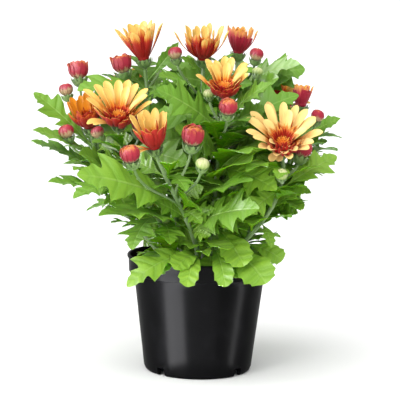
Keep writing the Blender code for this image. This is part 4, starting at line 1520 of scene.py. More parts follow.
@dataclass(frozen=True)
class Strap:
    """Where a petal or bract stands on a head: its root, its bearing, how it leans out, and its size."""

    root: float
    height: float
    bearing: float
    lean: Pair
    length: float
    width: float
    channel: float = 0.25

    def place(self, flat: np.ndarray) -> np.ndarray:
        """Bends flat points onto the strap, in the head's own frame.

        It leans from its first angle at its foot to its last at its tip.

        Args:
            flat: rows of share along, distance out and lift, for a blank one unit long and one wide.

        Returns:
            The places in the head's frame.
        """
        share, out, lift = flat.T
        steps = np.linspace(0, 1, STRAP_STEPS + 1)
        start, end = self.lean
        leans = np.radians(start + (end - start) * steps)
        lean = np.interp(share, steps, leans)
        mean = (leans[1:] + leans[:-1]) / 2
        out_so_far = np.append(0, np.cumsum(np.sin(mean)))
        up_so_far = np.append(0, np.cumsum(np.cos(mean)))
        radial = self.root + np.interp(share, steps, out_so_far) * self.length / STRAP_STEPS
        up = self.height + np.interp(share, steps, up_so_far) * self.length / STRAP_STEPS
        raised = self.width * (self.channel * 4 * out * out + lift)
        radial = radial - np.cos(lean) * raised
        up = up + np.sin(lean) * raised
        sideways = out * self.width
        cos, sin = math.cos(self.bearing), math.sin(self.bearing)
        return np.stack((radial * cos - sideways * sin, radial * sin + sideways * cos, up), axis=1)


@dataclass(frozen=True)
class Furl:
    """Where a petal lies on a bud: it wraps the ball from below to its top, one edge over its neighbour."""

    ball: float
    bearing: float
    half_angle: float
    reach: Pair
    layer: float
    flare: float

    def place(self, flat: np.ndarray) -> np.ndarray:
        """Wraps flat points round the ball, in the head's own frame.

        Args:
            flat: rows of share along, distance out and lift.

        Returns:
            The places in the head's frame.
        """
        share, out, lift = flat.T
        low, high = (math.radians(angle) for angle in self.reach)
        polar = low + (high - low) * share
        opened = np.clip((share - 0.6) / 0.4, 0, 1) ** 2 * self.flare
        radius = self.ball * (self.layer + 0.12 * out + lift)
        bearing = self.bearing + 2 * out * self.half_angle
        flat_radius = radius * np.sin(polar) + opened * self.ball
        up = self.ball * BALL_HEIGHT - radius * BALL_HEIGHT * np.cos(polar) + opened * self.ball * 0.5
        return np.stack((flat_radius * np.cos(bearing), flat_radius * np.sin(bearing), up), axis=1)


LEAF_OUTLINES = {
    "lobed": (
        (0, 0.022), (0.07, 0.018), (0.14, 0.017), (0.2, 0.026), (0.24, 0.056), (0.27, 0.1), (0.295, 0.14),
        (0.308, 0.16), (0.322, 0.172), (0.334, 0.166), (0.346, 0.172), (0.362, 0.196), (0.382, 0.226),
        (0.395, 0.246), (0.408, 0.262), (0.424, 0.232), (0.444, 0.182), (0.465, 0.13), (0.485, 0.094),
        (0.5, 0.094), (0.52, 0.126), (0.54, 0.172), (0.558, 0.214), (0.57, 0.218), (0.582, 0.226),
        (0.6, 0.25), (0.62, 0.276), (0.636, 0.294), (0.65, 0.31), (0.668, 0.268), (0.69, 0.208),
        (0.712, 0.152), (0.735, 0.114), (0.75, 0.114), (0.764, 0.132), (0.778, 0.15), (0.79, 0.166),
        (0.806, 0.15), (0.826, 0.126), (0.845, 0.11), (0.862, 0.104), (0.877, 0.102), (0.89, 0.096),
        (0.91, 0.08), (0.93, 0.066), (0.95, 0.052), (0.968, 0.037), (0.985, 0.021), (1, 0),
    ),
    "spoon": (
        (0, 0.022), (0.1, 0.018), (0.2, 0.022), (0.3, 0.038), (0.38, 0.075), (0.45, 0.12), (0.5, 0.15),
        (0.54, 0.172), (0.57, 0.176), (0.6, 0.196), (0.64, 0.218), (0.67, 0.228), (0.695, 0.214),
        (0.72, 0.2), (0.75, 0.208), (0.79, 0.222), (0.815, 0.202), (0.84, 0.176), (0.865, 0.164),
        (0.89, 0.164), (0.915, 0.134), (0.94, 0.098), (0.965, 0.066), (0.985, 0.034), (1, 0),
    ),
    "narrow": (
        (0, 0.022), (0.12, 0.02), (0.22, 0.028), (0.31, 0.072), (0.37, 0.115), (0.4, 0.132), (0.42, 0.144),
        (0.435, 0.136), (0.455, 0.13), (0.49, 0.168), (0.53, 0.196), (0.545, 0.203), (0.56, 0.207),
        (0.59, 0.182), (0.62, 0.153), (0.64, 0.141), (0.66, 0.137), (0.69, 0.156), (0.715, 0.17),
        (0.745, 0.146), (0.785, 0.11), (0.81, 0.1), (0.84, 0.104), (0.88, 0.078), (0.925, 0.048),
        (0.965, 0.024), (1, 0),
    ),
}
PETAL_OUTLINES = {
    "strap": (
        (0, 0.16), (0.15, 0.2), (0.33, 0.3), (0.5, 0.4), (0.66, 0.48), (0.79, 0.5), (0.88, 0.45),
        (0.94, 0.35), (0.98, 0.2), (1, 0.07),
    ),
    "spoon": (
        (0, 0.16), (0.2, 0.17), (0.4, 0.2), (0.55, 0.27), (0.68, 0.4), (0.8, 0.5), (0.89, 0.46),
        (0.95, 0.33), (0.985, 0.18), (1, 0.06),
    ),
    "quill": ((0, 0.3), (0.25, 0.38), (0.5, 0.46), (0.7, 0.48), (0.84, 0.38), (0.94, 0.2), (1, 0.03)),
}
BRACT_OUTLINE = ((0, 0.3), (0.25, 0.46), (0.5, 0.5), (0.75, 0.38), (0.92, 0.18), (1, 0))
LEAF_VEIN_ROWS = {"lobed": (8, 14, 22, 28, 36), "spoon": (7, 11, 15, 19), "narrow": (6, 12, 18, 22)}
LEAF_VEIN_DEPTH = 0.006
LEAF_SLANT = math.radians(27)


class Workshop:
    """Every blank, modelled once, and the further leaves that found room."""

    def __init__(self) -> None:
        """Models the leaves, petals, bracts, hairs, florets and crumbs, and grows the further leaves."""
        leaves = {
            kind: Sheet(kind + "_leaf", LEAF_OUTLINES[kind], 6, LEAF_SLANT, veins, LEAF_VEIN_DEPTH)
            for kind, veins in LEAF_VEIN_ROWS.items()
        }
        self.leaves = {kind: sheet.model() for kind, sheet in leaves.items()}
        self.small_leaves = {kind: sheet.lighter().model() for kind, sheet in leaves.items()}
        self.petals = {kind: Sheet(kind + "_petal", rows).model() for kind, rows in PETAL_OUTLINES.items()}
        self.bract = Sheet("bract", BRACT_OUTLINE).model()
        self.hair = self.model_hair()
        self.floret = self.model_floret()
        self.crumb = self.model_crumb()
        room = Room()
        self.chosen = {shoot.name: list(chosen_blades(shoot, room)) for shoot in SHOOTS}
        self.grown = Planting().grow(SHOOTS, room)

    def model_hair(self) -> Blank:
        """Models a single hair: a three-sided needle of unit length.

        Returns:
            The blank.
        """
        size = {"vertices": 3, "radius1": 1, "depth": 1, "location": (0, 0, 0.5)}
        piece = add_primitive("hair", bpy.ops.mesh.primitive_cone_add, end_fill_type="NOTHING", **size)
        bpy.ops.object.transform_apply(location=True)
        return Blank(piece)

    def model_floret(self) -> Blank:
        """Models a tube floret: it widens upwards, and its mouth is sunk.

        Returns:
            The blank.
        """
        size = {"vertices": 6, "radius1": 0.55, "radius2": 1, "depth": 1, "location": (0, 0, 0.5)}
        piece = add_primitive("floret", bpy.ops.mesh.primitive_cone_add, **size)
        bpy.ops.object.transform_apply(location=True)
        with editing(piece) as bm:
            bpy.ops.mesh.select_mode(type="FACE")
            for face in bm.faces:
                face.select_set(face.normal.z > 0.9)
            bpy.ops.mesh.inset(thickness=0.35)
            bpy.ops.transform.translate(value=(0, 0, -0.35))
        return Blank(piece)

    def model_crumb(self) -> Blank:
        """Models a crumb of soil or bark.

        Returns:
            The blank.
        """
        piece = add_primitive("crumb", bpy.ops.mesh.primitive_ico_sphere_add, subdivisions=1, radius=1)
        with editing(piece):
            bpy.ops.mesh.select_all(action="SELECT")
            bpy.ops.transform.resize(value=(1.3, 0.9, 0.6))
            bpy.ops.transform.vertex_random(offset=0.25, seed=3)
        return Blank(piece)


# The plant's pieces


@dataclass
class Cup:
    """The green cup under a bloom or bud, with its overlapping bracts."""

    workshop: Workshop
    rng: np.random.Generator
    bracts: int = 9
    ring_lengths: Pair = (1.25, 0.85)

    def build(self, head: Head, name: str) -> list[Piece]:
        """Models a cup on its head.

        Args:
            head: where it stands and its size.
            name: the name that its parts start with.

        Returns:
            The cup's body and its bracts.
        """
        wide, tall = head.width, head.height
        profile = [
            (0, -2 * MM), (0.12 * wide, -1.4 * MM), (0.3 * wide, 0.1 * tall), (0.43 * wide, 0.45 * tall),
            (0.48 * wide, 0.75 * tall), (0.5 * wide, 0.97 * tall), (0.44 * wide, tall), (0, 0.9 * tall),
        ]
        body = turn_up(name + "_cup", profile, 14)
        stand(body, head.standing_at(0))
        dress(body, Palette.BRACT)
        placed = []
        tones = []
        for ring, length in enumerate(self.ring_lengths):
            foot = (-1.2 - 0.5 * ring) * MM
            for k in range(self.bracts):
                bearing = 2 * math.pi * (k + 0.5 * ring) / self.bracts
                size = length * (tall + 0.28 * wide) * self.rng.uniform(0.92, 1.08)
                lean = (74 + 4 * ring, 2 + 12 * ring + self.rng.uniform(-6, 8))
                strap = Strap(0.1 * wide, foot, bearing, lean, size, 3.1 * wide / self.bracts, 0.12)
                placed.append(head.standing_at(0)(strap.place(self.workshop.bract.points)))
                tones.append(self.rng.uniform(0, 0.8))
        bracts = self.workshop.bract.copies(name + "_bracts", placed, tones)
        apply_modifier(bracts, "SOLIDIFY", thickness=0.35 * MM, offset=0)
        dress(bracts, Palette.BRACT)
        return [body, bracts]


@dataclass
class LeafyStem:
    """A shoot's green parts: its stem and side stalks, its leaves, its cups and its green buds.

    A leaf's margin waves, and a leaf turns along its length by up to a twist, the further leaves the most.
    """

    shoot: Shoot
    workshop: Workshop
    thickness: float = 0.35 * MM
    stem_bracts: int = 11
    hair_ring: float = 2 * MM
    hairs: int = 170
    wave: float = 0.018
    twist: float = 0.25
    grown_twist: float = 0.9

    def __post_init__(self) -> None:
        """Lays out the stem and seeds its draws."""
        self.stem = main_path(self.shoot)
        self.node = "leafy_stem_" + self.shoot.name
        self.rng = np.random.default_rng([SEED, *self.shoot.name.encode()])

    def stalk(self, path: Path, thick: float, thin: float, foot: float = 0.0) -> Piece:
        """Models a stem or stalk as a bevelled curve.

        Args:
            path: where it runs.
            thick: its radius at its foot.
            thin: its radius at its end.
            foot: how far it goes straight down below its first point.

        Returns:
            The stalk as a mesh.
        """
        curve = add_primitive("stalk", bpy.ops.curve.primitive_bezier_curve_add).data
        curve.bevel_depth = 1
        curve.bevel_resolution = 3
        curve.resolution_u = 14
        curve.use_fill_caps = True
        line = curve.splines[0]
        start, leave, arrive, end = path.points
        places = [(start, leave - start, thick), (end, end - arrive, thin)]
        if foot:
            line.bezier_points.add(1)
            places.insert(0, (start - UP * foot, UP * foot / 3, thick))
        for point, (place, run, radius) in zip(line.bezier_points, places):
            point.handle_left_type = point.handle_right_type = "FREE"
            point.co = place
            point.handle_left = place - (UP * foot / 3 if foot and place == start else run)
            point.handle_right = place + run
            point.radius = radius
        bpy.ops.object.convert(target="MESH")
        made = named("stalk")
        dress(made, Palette.STEM)
        return made

    def downy(self, path: Path, radius: float, count: int) -> Piece:
        """Sets short silvery hairs all along a stalk.

        Args:
            path: the stalk's path.
            radius: its radius.
            count: how many hairs.

        Returns:
            The hairs as one piece.
        """
        placed = []
        for _ in range(count):
            at = self.rng.uniform(0.03, 0.98)
            heading = path.heading(at)
            turn = Matrix.Rotation(self.rng.uniform(0, 2 * math.pi), 3, heading)
            out = turn @ heading.orthogonal().normalized()
            origin = path.at(at) + out * radius * 0.8
            rise = (out + heading * self.rng.uniform(-0.3, 0.8)).normalized()
            place = pointed(origin, rise, self.rng.uniform(1.0, 1.9) * MM, 0.07 * MM)
            placed.append(place(self.workshop.hair.points))
        made = self.workshop.hair.copies("hairs", placed, [0.5] * count)
        dress(made, Palette.HAIR)
        return made

    def leaf_points(self, blade: Blade, blank: Blank, twist: float) -> np.ndarray:
        """A leaf's points, with its margin waved and its halves a little unlike.

        Args:
            blade: where the leaf lies.
            blank: the leaf as modelled.
            twist: how far it may turn along its length.

        Returns:
            The places of its blank's points.
        """
        flat = blank.points.copy()
        share, out = flat[:, 0], flat[:, 1]
        phase = self.rng.uniform(0, 6.3)
        turns = self.rng.uniform(2.2, 3.6)
        lopsided = self.rng.uniform(-0.07, 0.07)
        wave = np.sin(2 * math.pi * turns * share + phase + np.sign(out)) * np.abs(out) * 5
        flat[:, 2] += self.wave * wave + self.rng.uniform(-twist, twist) * (share - 0.35) * out
        flat[:, 1] = out * (1 + lopsided * np.sign(out)) * blade.leaf.slim
        return blade.place(flat)

    def tone(self, blade: Blade) -> float:
        """How bright a leaf is: the lower its tip the brighter, as painted light shining through the lower
        leaves, and as pale as its layout says.
        """
        # Painted light: the lower the leaf, the brighter and yellower, as if light shone through it.
        low = (235 * MM - blade.tip_height) / (140 * MM)
        return min(max(0.2 + 0.66 * low, 0), 1) + self.rng.uniform(-0.24, 0.24) + blade.leaf.pale

    def foliage(self) -> list[Piece]:
        """Models all the shoot's leaves.

        Returns:
            A piece for each outline, of the leaves laid out and of the further leaves.
        """
        workshop, name = self.workshop, self.shoot.name
        found = found_blades(self.shoot, self.stem, self.node) + workshop.chosen[name]
        grown = workshop.grown[name]
        groups = [(kind, blank, found, self.twist) for kind, blank in workshop.leaves.items()]
        groups += [(kind, blank, grown, self.grown_twist) for kind, blank in workshop.small_leaves.items()]
        made = []
        for kind, blank, laid_out, twist in groups:
            chosen = [blade for blade in laid_out if blade.leaf.kind == kind]
            if not chosen:
                continue
            placed = [self.leaf_points(blade, blank, twist) for blade in chosen]
            leaves = blank.copies(kind + "_leaves", placed, [self.tone(blade) for blade in chosen])
            dress(leaves, Palette.LEAF_TOP, Palette.LEAF_UNDER)
            two_sided = {"material_offset": 1, "material_offset_rim": 0}
            apply_modifier(leaves, "SOLIDIFY", thickness=self.thickness, offset=-1, **two_sided)
            smooth(leaves, 60)
            made.append(leaves)
        return made

    def build(self) -> None:
        """Models the shoot and puts it in its node's place."""
        parts = self.foliage()
        wood = self.stalk(self.stem, STEM_FOOT_RADIUS, STEM_NECK_RADIUS, PLANTING_DEPTH)
        parts += [wood, self.downy(self.stem, self.hair_ring, self.hairs)]
        parts += Cup(self.workshop, self.rng, self.stem_bracts).build(bloom_head(self.shoot), "bloom")
        for bud in self.shoot.buds:
            path = stalk_path(self.stem, bud)
            head = bud_head(self.stem, bud)
            parts.append(self.stalk(path, STALK_RADIUS, STALK_RADIUS))
            parts.append(self.downy(path, STALK_RADIUS, self.hairs // 4))
            parts += Cup(self.workshop, self.rng).build(head, "bud")
            if not bud.red:
                young = FurledBud("young", head, bud.width, self.workshop, 0.0)
                parts.append(young.model(head.standing_at(head.height * GREEN_BUD_SEAT)))
        for part in parts:
            if not part.name.endswith("leaves"):
                smooth(part, 50)
        hand_in(join(self.node + "_fine", parts), self.node)


@dataclass
class FurledBud:
    """A bud: petals wrapped round a ball in layers, the outer ones shorter and opening at their tips.

    A row has a count, its share of the ball's radius, how far over the ball it reaches in degrees, its share
    of the flare, and how far its run of colours is moved up. The further that is, the more of the petals'
    pale foot shows.
    """

    name: str
    head: Head
    width: float
    workshop: Workshop
    flare: float
    paler: float = 0.0
    rows: tuple[tuple[int, float, float, float, float], ...] = (
        (11, 0.99, 136, 1.0, 0.12),
        (10, 0.94, 156, 0.7, 0.0),
        (9, 0.88, 168, 0.3, -0.16),
        (7, 0.82, 176, 0.0, -0.3),
    )

    def model(self, seat: Placer) -> Piece:
        """Models the bud where it sits.

        Args:
            seat: takes points from the head's own frame to the plant's.

        Returns:
            The bud.
        """
        rng = np.random.default_rng([SEED, *self.name.encode()])
        ball = self.width * MM / 2
        finish = Palette.FURLED if self.name.startswith("bud") else Palette.YOUNG
        placed = []
        tones = []
        blank = self.workshop.petals["strap"]
        for count, layer, top, share, shift in self.rows:
            for k in range(count):
                bearing = 2 * math.pi * (k + layer * 7 + rng.uniform(-0.12, 0.12)) / count
                reach = (12, top + rng.uniform(-11, 8))
                flare = self.flare * share * rng.uniform(0.2, 1.3)
                furl = Furl(ball, bearing, 1.5 * math.pi / count, reach, layer, flare)
                placed.append(seat(furl.place(blank.points)))
                tones.append(shift + self.paler + rng.uniform(-0.1, 0.12))
        petals = blank.copies(self.name + "_petals", placed, tones)
        apply_modifier(petals, "SOLIDIFY", thickness=0.35 * MM, offset=0)
        dress(petals, finish)
        core = [(0, 0.02), (0.4, 0.1), (0.72, 0.4), (0.83, 0.85), (0.72, 1.3), (0.4, 1.6), (0, 1.68)]
        middle = turn_up(self.name + "_core", [(ball * out, ball * up) for out, up in core], 16)
        stand(middle, seat)
        dress(middle, finish)
        made = join(self.name + "_fine", [petals, middle])
        smooth(made, 55)
        return made


@dataclass(frozen=True)
class Character:
    """What sets one bloom apart from the others.

    The rows' petals are finished by face and back, redder by redness, and so wide. Towards the front they
    lean as near_lean says, have a share near_length of their length and are redder by near_redness. The cup
    is the outermost ring of quills inside them: how many there are, and their length in mm. Strays hang out
    of their row: each has a bearing on the head, a lean at its foot and at its tip, and a length in mm. A
    half-open bloom's petals lean out more at the foot and less at the tip, by curl in degrees.
    """

    face: Palette = Palette.SUNNY
    back: Palette = Palette.SUNNY_BACK
    redness: float = 0.0
    width: float = 7.6 * MM
    outline: str = "strap"
    near_lean: Pair = (84, 4)
    near_length: float = 0.6
    near_redness: float = 0.42
    cup: tuple[int, float] = (18, 13)
    strays: tuple[tuple[float, float, float, float], ...] = ()
    curl: float = 21.0


CHARACTERS = {
    "left_high": Character(
        redness=0.04, width=8.6 * MM, near_lean=(40, 16), near_length=0.86, near_redness=0.04,
        cup=(11, 16), curl=8,
    ),
    "left": Character(
        Palette.AMBER, Palette.AMBER_BACK, 0.0, 7 * MM, near_lean=(66, 0), near_length=0.72, cup=(16, 15)
    ),
    "front_left": Character(
        redness=0.04, width=8 * MM, cup=(24, 15), strays=((200, 62, 100, 24), (216, 58, 84, 22))
    ),
    "front": Character(
        redness=0.05, width=7.4 * MM, near_lean=(46, 4), near_length=0.7, near_redness=0.36, cup=(13, 15),
        strays=((206, 60, 80, 21), (222, 64, 105, 17)), curl=13,
    ),
    "middle_high": Character(
        redness=0.04, width=5.8 * MM, outline="spoon", near_lean=(62, 8), near_length=0.84, near_redness=0.08,
        cup=(22, 20),
    ),
    "right_high": Character(
        Palette.EMBER, Palette.EMBER_BACK, 0.05, 5.4 * MM, "spoon", (46, 6), 0.95, 0.0, (16, 16)
    ),
    "middle": Character(
        redness=0.02, width=7.8 * MM, near_lean=(86, -6), near_length=0.62, near_redness=0.55, cup=(22, 13)
    ),
    "front_right": Character(
        Palette.PALE, redness=-0.03, width=8 * MM, near_lean=(44, 58), near_length=0.54, near_redness=0.08,
        cup=(26, 20), strays=((238, 56, 104, 16), (256, 58, 108, 12)),
    ),
    "right": Character(
        Palette.EMBER, Palette.EMBER_BACK, 0.05, 4.8 * MM, "strap", (26, 0), 1.0, 0.0, (7, 13), curl=10
    ),
    "back_left": Character(near_lean=(50, 50), near_length=1.0, near_redness=0.0),
    "back": Character(
        redness=0.04, width=8 * MM, near_lean=(48, 8), near_length=0.95, near_redness=0.0,
        cup=(11, 15), curl=14,
    ),
    "back_right": Character(near_lean=(50, 50), near_length=1.0, near_redness=0.0),
}


@dataclass(frozen=True)
class Row:
    """A row of petals on a bloom: how many there are, where they root, how they lean, and their size.

    On the near side they lean as near_lean says and have a share near_length of their length.
    """

    count: int
    root: float
    height: float
    lean: Pair
    near_lean: Pair
    length: float
    near_length: float
    width: float
    redness: float = 0.0
    outline: str = "strap"
    channel: float = 0.25


@dataclass
class Bloom:
    """A bloom: two rows of strap petals and a few shorter ones, round three rings of short quills.

    A row has how many degrees it stands up more than the outermost, and its share of the length. A ring has
    those too, after how many quills fewer there are in it.
    """

    shoot: Shoot
    workshop: Workshop
    thickness: float = 0.28 * MM
    open_root: float = 5.2 * MM
    half_open_root: float = 4.4 * MM
    inner_petals: int = 5
    row_shapes: tuple[Pair, ...] = ((0, 1.0), (4, 0.96), (11, 0.78))
    ring_shapes: tuple[tuple[int, float, float], ...] = ((0, 0, 1.0), (2, 9, 0.88), (4, 18, 0.72))

    def __post_init__(self) -> None:
        """Seeds the bloom's draws."""
        self.rng = np.random.default_rng([SEED + 1, *self.shoot.name.encode()])
        self.character = CHARACTERS[self.shoot.name]
        self.placed = list(self.straps())

    def rows(self) -> Iterator[Row]:
        """Lays out the bloom's rows of petals and its rings of quills.

        Yields:
            The rows, from the outermost, and then the rings.
        """
        shoot, kind = self.shoot, self.character
        first, last = shoot.spread
        if not shoot.open:
            first, last = (first + last) / 2 + kind.curl, (first + last) / 2 - kind.curl
        near_first, near_last = kind.near_lean
        reach, share = shoot.reach * MM, kind.near_length
        root = self.open_root if shoot.open else self.half_open_root
        counts = (shoot.petals // 2, shoot.petals // 2, self.inner_petals)
        for number, (petals, (tighter, shorter)) in enumerate(zip(counts, self.row_shapes)):
            lean = (first - tighter, last - 1.4 * tighter)
            near_lean = (near_first - tighter, near_last - tighter)
            foot = root - 1.1 * number * MM
            height = (1.6 + 1.1 * number) * MM
            redness = 0.05 * (number == 2)
            length = reach * shorter
            yield Row(petals, foot, height, lean, near_lean, length, share, kind.width, redness, kind.outline)
        petals, length = kind.cup
        slim = 1.35 * 2 * math.pi * 12 * MM / petals
        lean, near_lean = (48, 38), (80, -8)
        if not shoot.open:
            lean, near_lean = (first + 4, last - 4), (near_first + 6, near_last - 6)
        for number, (fewer, tighter, shorter) in enumerate(self.ring_shapes):
            yield Row(
                count=petals - fewer,
                root=root - 0.5 * number * MM,
                height=(2.2 + 1.7 * number) * MM,
                lean=(lean[0] - tighter, lean[1] - tighter),
                near_lean=(near_lean[0] - tighter, near_lean[1] - 0.6 * tighter),
                length=length * shorter * MM,
                near_length=1.1,
                width=slim * shorter,
                redness=0.48 + 0.04 * number,
                outline="quill",
                channel=0.5,
            )

    def straps(self) -> Iterator[tuple[Strap, str, float]]:
        """Draws every petal.

        Yields:
            Its place, its outline and its redness.
        """
        turn = np.array(UP.rotation_difference(Vector(self.shoot.facing).normalized()).to_matrix())
        for number, row in enumerate(self.rows()):
            for k in range(row.count):
                bearing = 2 * math.pi * (k + 0.5 * number + self.rng.uniform(-0.13, 0.13)) / row.count
                near = min(max(0.15 - 1.15 * (turn @ (math.cos(bearing), math.sin(bearing), 0))[1], 0), 1)
                sway = self.rng.uniform(-5, 5)
                lean = [far + (close - far) * near + sway for far, close in zip(row.lean, row.near_lean)]
                length = row.length * self.rng.uniform(0.92, 1.05) * (1 + (row.near_length - 1) * near)
                width = row.width * self.rng.uniform(0.88, 1.06)
                bend = (lean[0], lean[1] + 0.6 * sway)
                strap = Strap(row.root, row.height, bearing, bend, length, width, row.channel)
                redder = self.character.near_redness * near * (row.outline != "quill")
                yield strap, row.outline, row.redness + redder
        for bearing, first, last, length in self.character.strays:
            width = self.character.width * 0.9
            strap = Strap(5 * MM, 1.4 * MM, math.radians(bearing), (first, last), length * MM, width)
            yield strap, "strap", -0.12

    def petals(self, outline: str) -> Piece:
        """Models all the petals of one outline, faced and backed.

        Args:
            outline: the outline's name.

        Returns:
            The petals as one piece.
        """
        kind = self.character
        blank = self.workshop.petals[outline]
        seat = bloom_head(self.shoot).seat
        chosen = [(strap, redness) for strap, shape, redness in self.placed if shape == outline]
        placed = [seat(strap.place(blank.points)) for strap, _ in chosen]
        tones = [kind.redness + redness + self.rng.uniform(-0.06, 0.06) for _, redness in chosen]
        made = blank.copies(f"bloom_{self.shoot.name}_{outline}", placed, tones)
        dress(made, kind.face, kind.back)
        two_sided = {"material_offset": 1, "material_offset_rim": 0}
        apply_modifier(made, "SOLIDIFY", thickness=self.thickness, offset=0, **two_sided)
        return made

    def build(self) -> None:
        """Models the bloom and puts it in its node's place."""
        name = "bloom_" + self.shoot.name
        profile = [(0, 0.1), (4.2, 0.3), (5.2, 1.6), (5, 3), (4.6, 5), (3.8, 6.4), (0, 6.7)]
        middle = turn_up(name + "_middle", [(out * MM, up * MM) for out, up in profile], 20)
        stand(middle, bloom_head(self.shoot).seat)
        dress(middle, self.character.back)
        outlines = dict.fromkeys(outline for _, outline, _ in self.placed)
        made = join(name + "_fine", [middle, *(self.petals(outline) for outline in outlines)])
        smooth(made, 55)
        hand_in(made, name)


@dataclass
class Disc:
    """The dense middle of an open bloom: tube florets at the golden angle on a low dome."""

    shoot: Shoot
    workshop: Workshop
    florets: int = 64
    radius: float = 5.4 * MM
    rise: float = 3.4 * MM
    foot: float = 7.2 * MM
    sunk: float = 0.4 * MM

    def build(self) -> None:
        """Models the disc and puts it in its node's place."""
        rng = np.random.default_rng([SEED + 2, *self.shoot.name.encode()])
        seat = bloom_head(self.shoot).seat
        name = "disc_" + self.shoot.name
        placed = []
        tones = []
        for k in range(self.florets):
            share = math.sqrt((k + 0.5) / self.florets)
            bearing = GOLDEN_ANGLE * k
            out = Vector((math.cos(bearing), math.sin(bearing), 0))
            height = self.foot + self.rise * (1 - share**2) - self.sunk
            origin = out * self.radius * share * 0.8 + UP * height
            heading = (UP + out * share * 1.3).normalized()
            length = rng.uniform(2.0, 3.9) * (1.25 - 0.5 * (share < 0.35)) * MM
            placed.append(seat(pointed(origin, heading, length, 0.46 * MM)(self.workshop.floret.points)))
            tones.append(1 - (1.4 * share - 0.4 + rng.uniform(-0.5, 0.5)))
        florets = self.workshop.floret.copies(name + "_florets", placed, tones)
        dress(florets, Palette.FLORET)
        dome = [(0, 0), (0.9, 0), (1, 0.25), (0.8, 0.6), (0.45, 0.9), (0, 1)]
        profile = [(self.radius * 0.85 * out, self.foot - self.sunk + self.rise * up) for out, up in dome]
        body = turn_up(name + "_dome", profile, 20)
        stand(body, seat)
        dress(body, Palette.QUILL)
        made = join(name + "_fine", [florets, body])
        smooth(made, 40)
        hand_in(made, name)


@dataclass
class Pot:
    """The nursery pot: tapered wall, collar with a beaded lip, foot ring with drain notches."""

    sides: int = 112
    drains: int = 4
    drain_turn: float = math.radians(48)
    drain_size: tuple[float, float, float] = (16 * MM, 8 * MM, 14 * MM)
    drain_inset: float = 2 * MM
    foot_radius: float = 47.4 * MM

    def profile(self) -> list[Pair]:
        """Lays out the wall, from the middle of the underside round the lip to the middle of the inside.

        Returns:
            Its radii and heights.
        """
        under = [(0, 0), (9.5, 0), (10, 0.4), (11, 4.1), (11.6, 4.5), (43.4, 4.5), (43.9, 4.1), (44.4, 0.5)]
        foot = [(44.8, 0), (46.8, 0), (47.4, 0.5), (48.4, 2.7), (48.7, 3.6)]
        wall = [(50.6, 20), (53.1, 40), (55.5, 60), (58, 80), (58.8, 86.8), (59.2, 87.6), (59.8, 88)]
        collar = [(62.6, 88.3), (63.2, 88.7), (63.4, 89.4), (63.6, 95), (63.9, 100.6), (64.2, 101.2)]
        lip = [(64.8, 101.5), (65, 102), (65, 103.2), (64.7, 103.8), (64.1, 104), (63, 104), (62.6, 103.6)]
        inside = [(62.4, 102.8), (61.8, 91.2), (61.4, 90.4), (58, 88.8), (57.4, 88), (47.8, 7), (46.6, 5.9)]
        floor = [(30, 5.9), (0, 5.9)]
        stations = (*under, *foot, *wall, *collar, *lip, *inside, *floor)
        return [(radius * MM, height * MM) for radius, height in stations]

    def build(self) -> None:
        """Models the pot and puts it in its node's place."""
        pot = turn_up("pot_fine", self.profile(), self.sides)
        for k in range(self.drains):
            bearing = self.drain_turn + 2 * math.pi * k / self.drains - math.pi / 2
            away = self.foot_radius - self.drain_inset
            place = (away * math.cos(bearing), away * math.sin(bearing), 0)
            cutter = add_primitive("drain", bpy.ops.mesh.primitive_cube_add, size=1, location=place)
            cutter.rotation_euler.z = bearing
            cutter.scale = self.drain_size
            with editing(cutter) as bm:
                bpy.ops.mesh.select_mode(type="EDGE")
                for edge in bm.edges:
                    low, high = (vert.co for vert in edge.verts)
                    edge.select_set(abs(low.x - high.x) > 0.5 and low.z > 0)
                bpy.ops.mesh.bevel(offset=0.12, segments=4)
            apply_modifier(pot, "BOOLEAN", object=cutter, operation="DIFFERENCE", solver="EXACT")
            bpy.data.objects.remove(cutter)
        smooth(pot, 32)
        dress(pot, Palette.POT)
        hand_in(pot, "pot")


@dataclass
class Soil:
    """The potting soil: an uneven top strewn with crumbs of peat and bark."""

    workshop: Workshop
    top: float = SOIL_LEVEL
    radius: float = 56.6 * MM
    foot: float = 6.4 * MM
    foot_radius: float = 46.4 * MM
    crumbs: int = 420
    crumb_size: Pair = (0.6, 1.9)

    def build(self) -> None:
        """Models the soil and puts it in its node's place."""
        rng = np.random.default_rng(SEED + 3)
        rings = [(self.radius * (1 - k / 16), self.top) for k in range(17)]
        soil = turn_up("potting_soil_fine", [(0, self.foot), (self.foot_radius, self.foot), *rings], 72)
        with editing(soil) as bm:
            limit = self.radius * 0.99
            pick(bm, lambda vert: vert.co.z > self.top - 1 * MM and vert.co.xy.length < limit)
            bpy.ops.transform.vertex_random(offset=1.3 * MM, uniform=0.2, normal=1, seed=5)
        dress(soil, Palette.SOIL)
        placed = []
        for _ in range(self.crumbs):
            bearing = rng.uniform(0, 2 * math.pi)
            out = (self.radius - 3 * MM) * math.sqrt(rng.uniform(0, 1))
            height = self.top + rng.uniform(0, 1) * MM
            origin = Vector((out * math.cos(bearing), out * math.sin(bearing), height))
            heading = Vector(rng.normal(size=3)).normalized()
            size = rng.uniform(*self.crumb_size) * MM
            placed.append(pointed(origin, heading, size, size)(self.workshop.crumb.points))
        crumbs = self.workshop.crumb.copies("crumbs", placed, rng.uniform(-0.6, 0.8, self.crumbs).tolist())
        dress(crumbs, Palette.BARK)
        made = join("potting_soil_fine", [soil, crumbs])
        smooth(made, 30)
        hand_in(made, "potting_soil")


# The studio


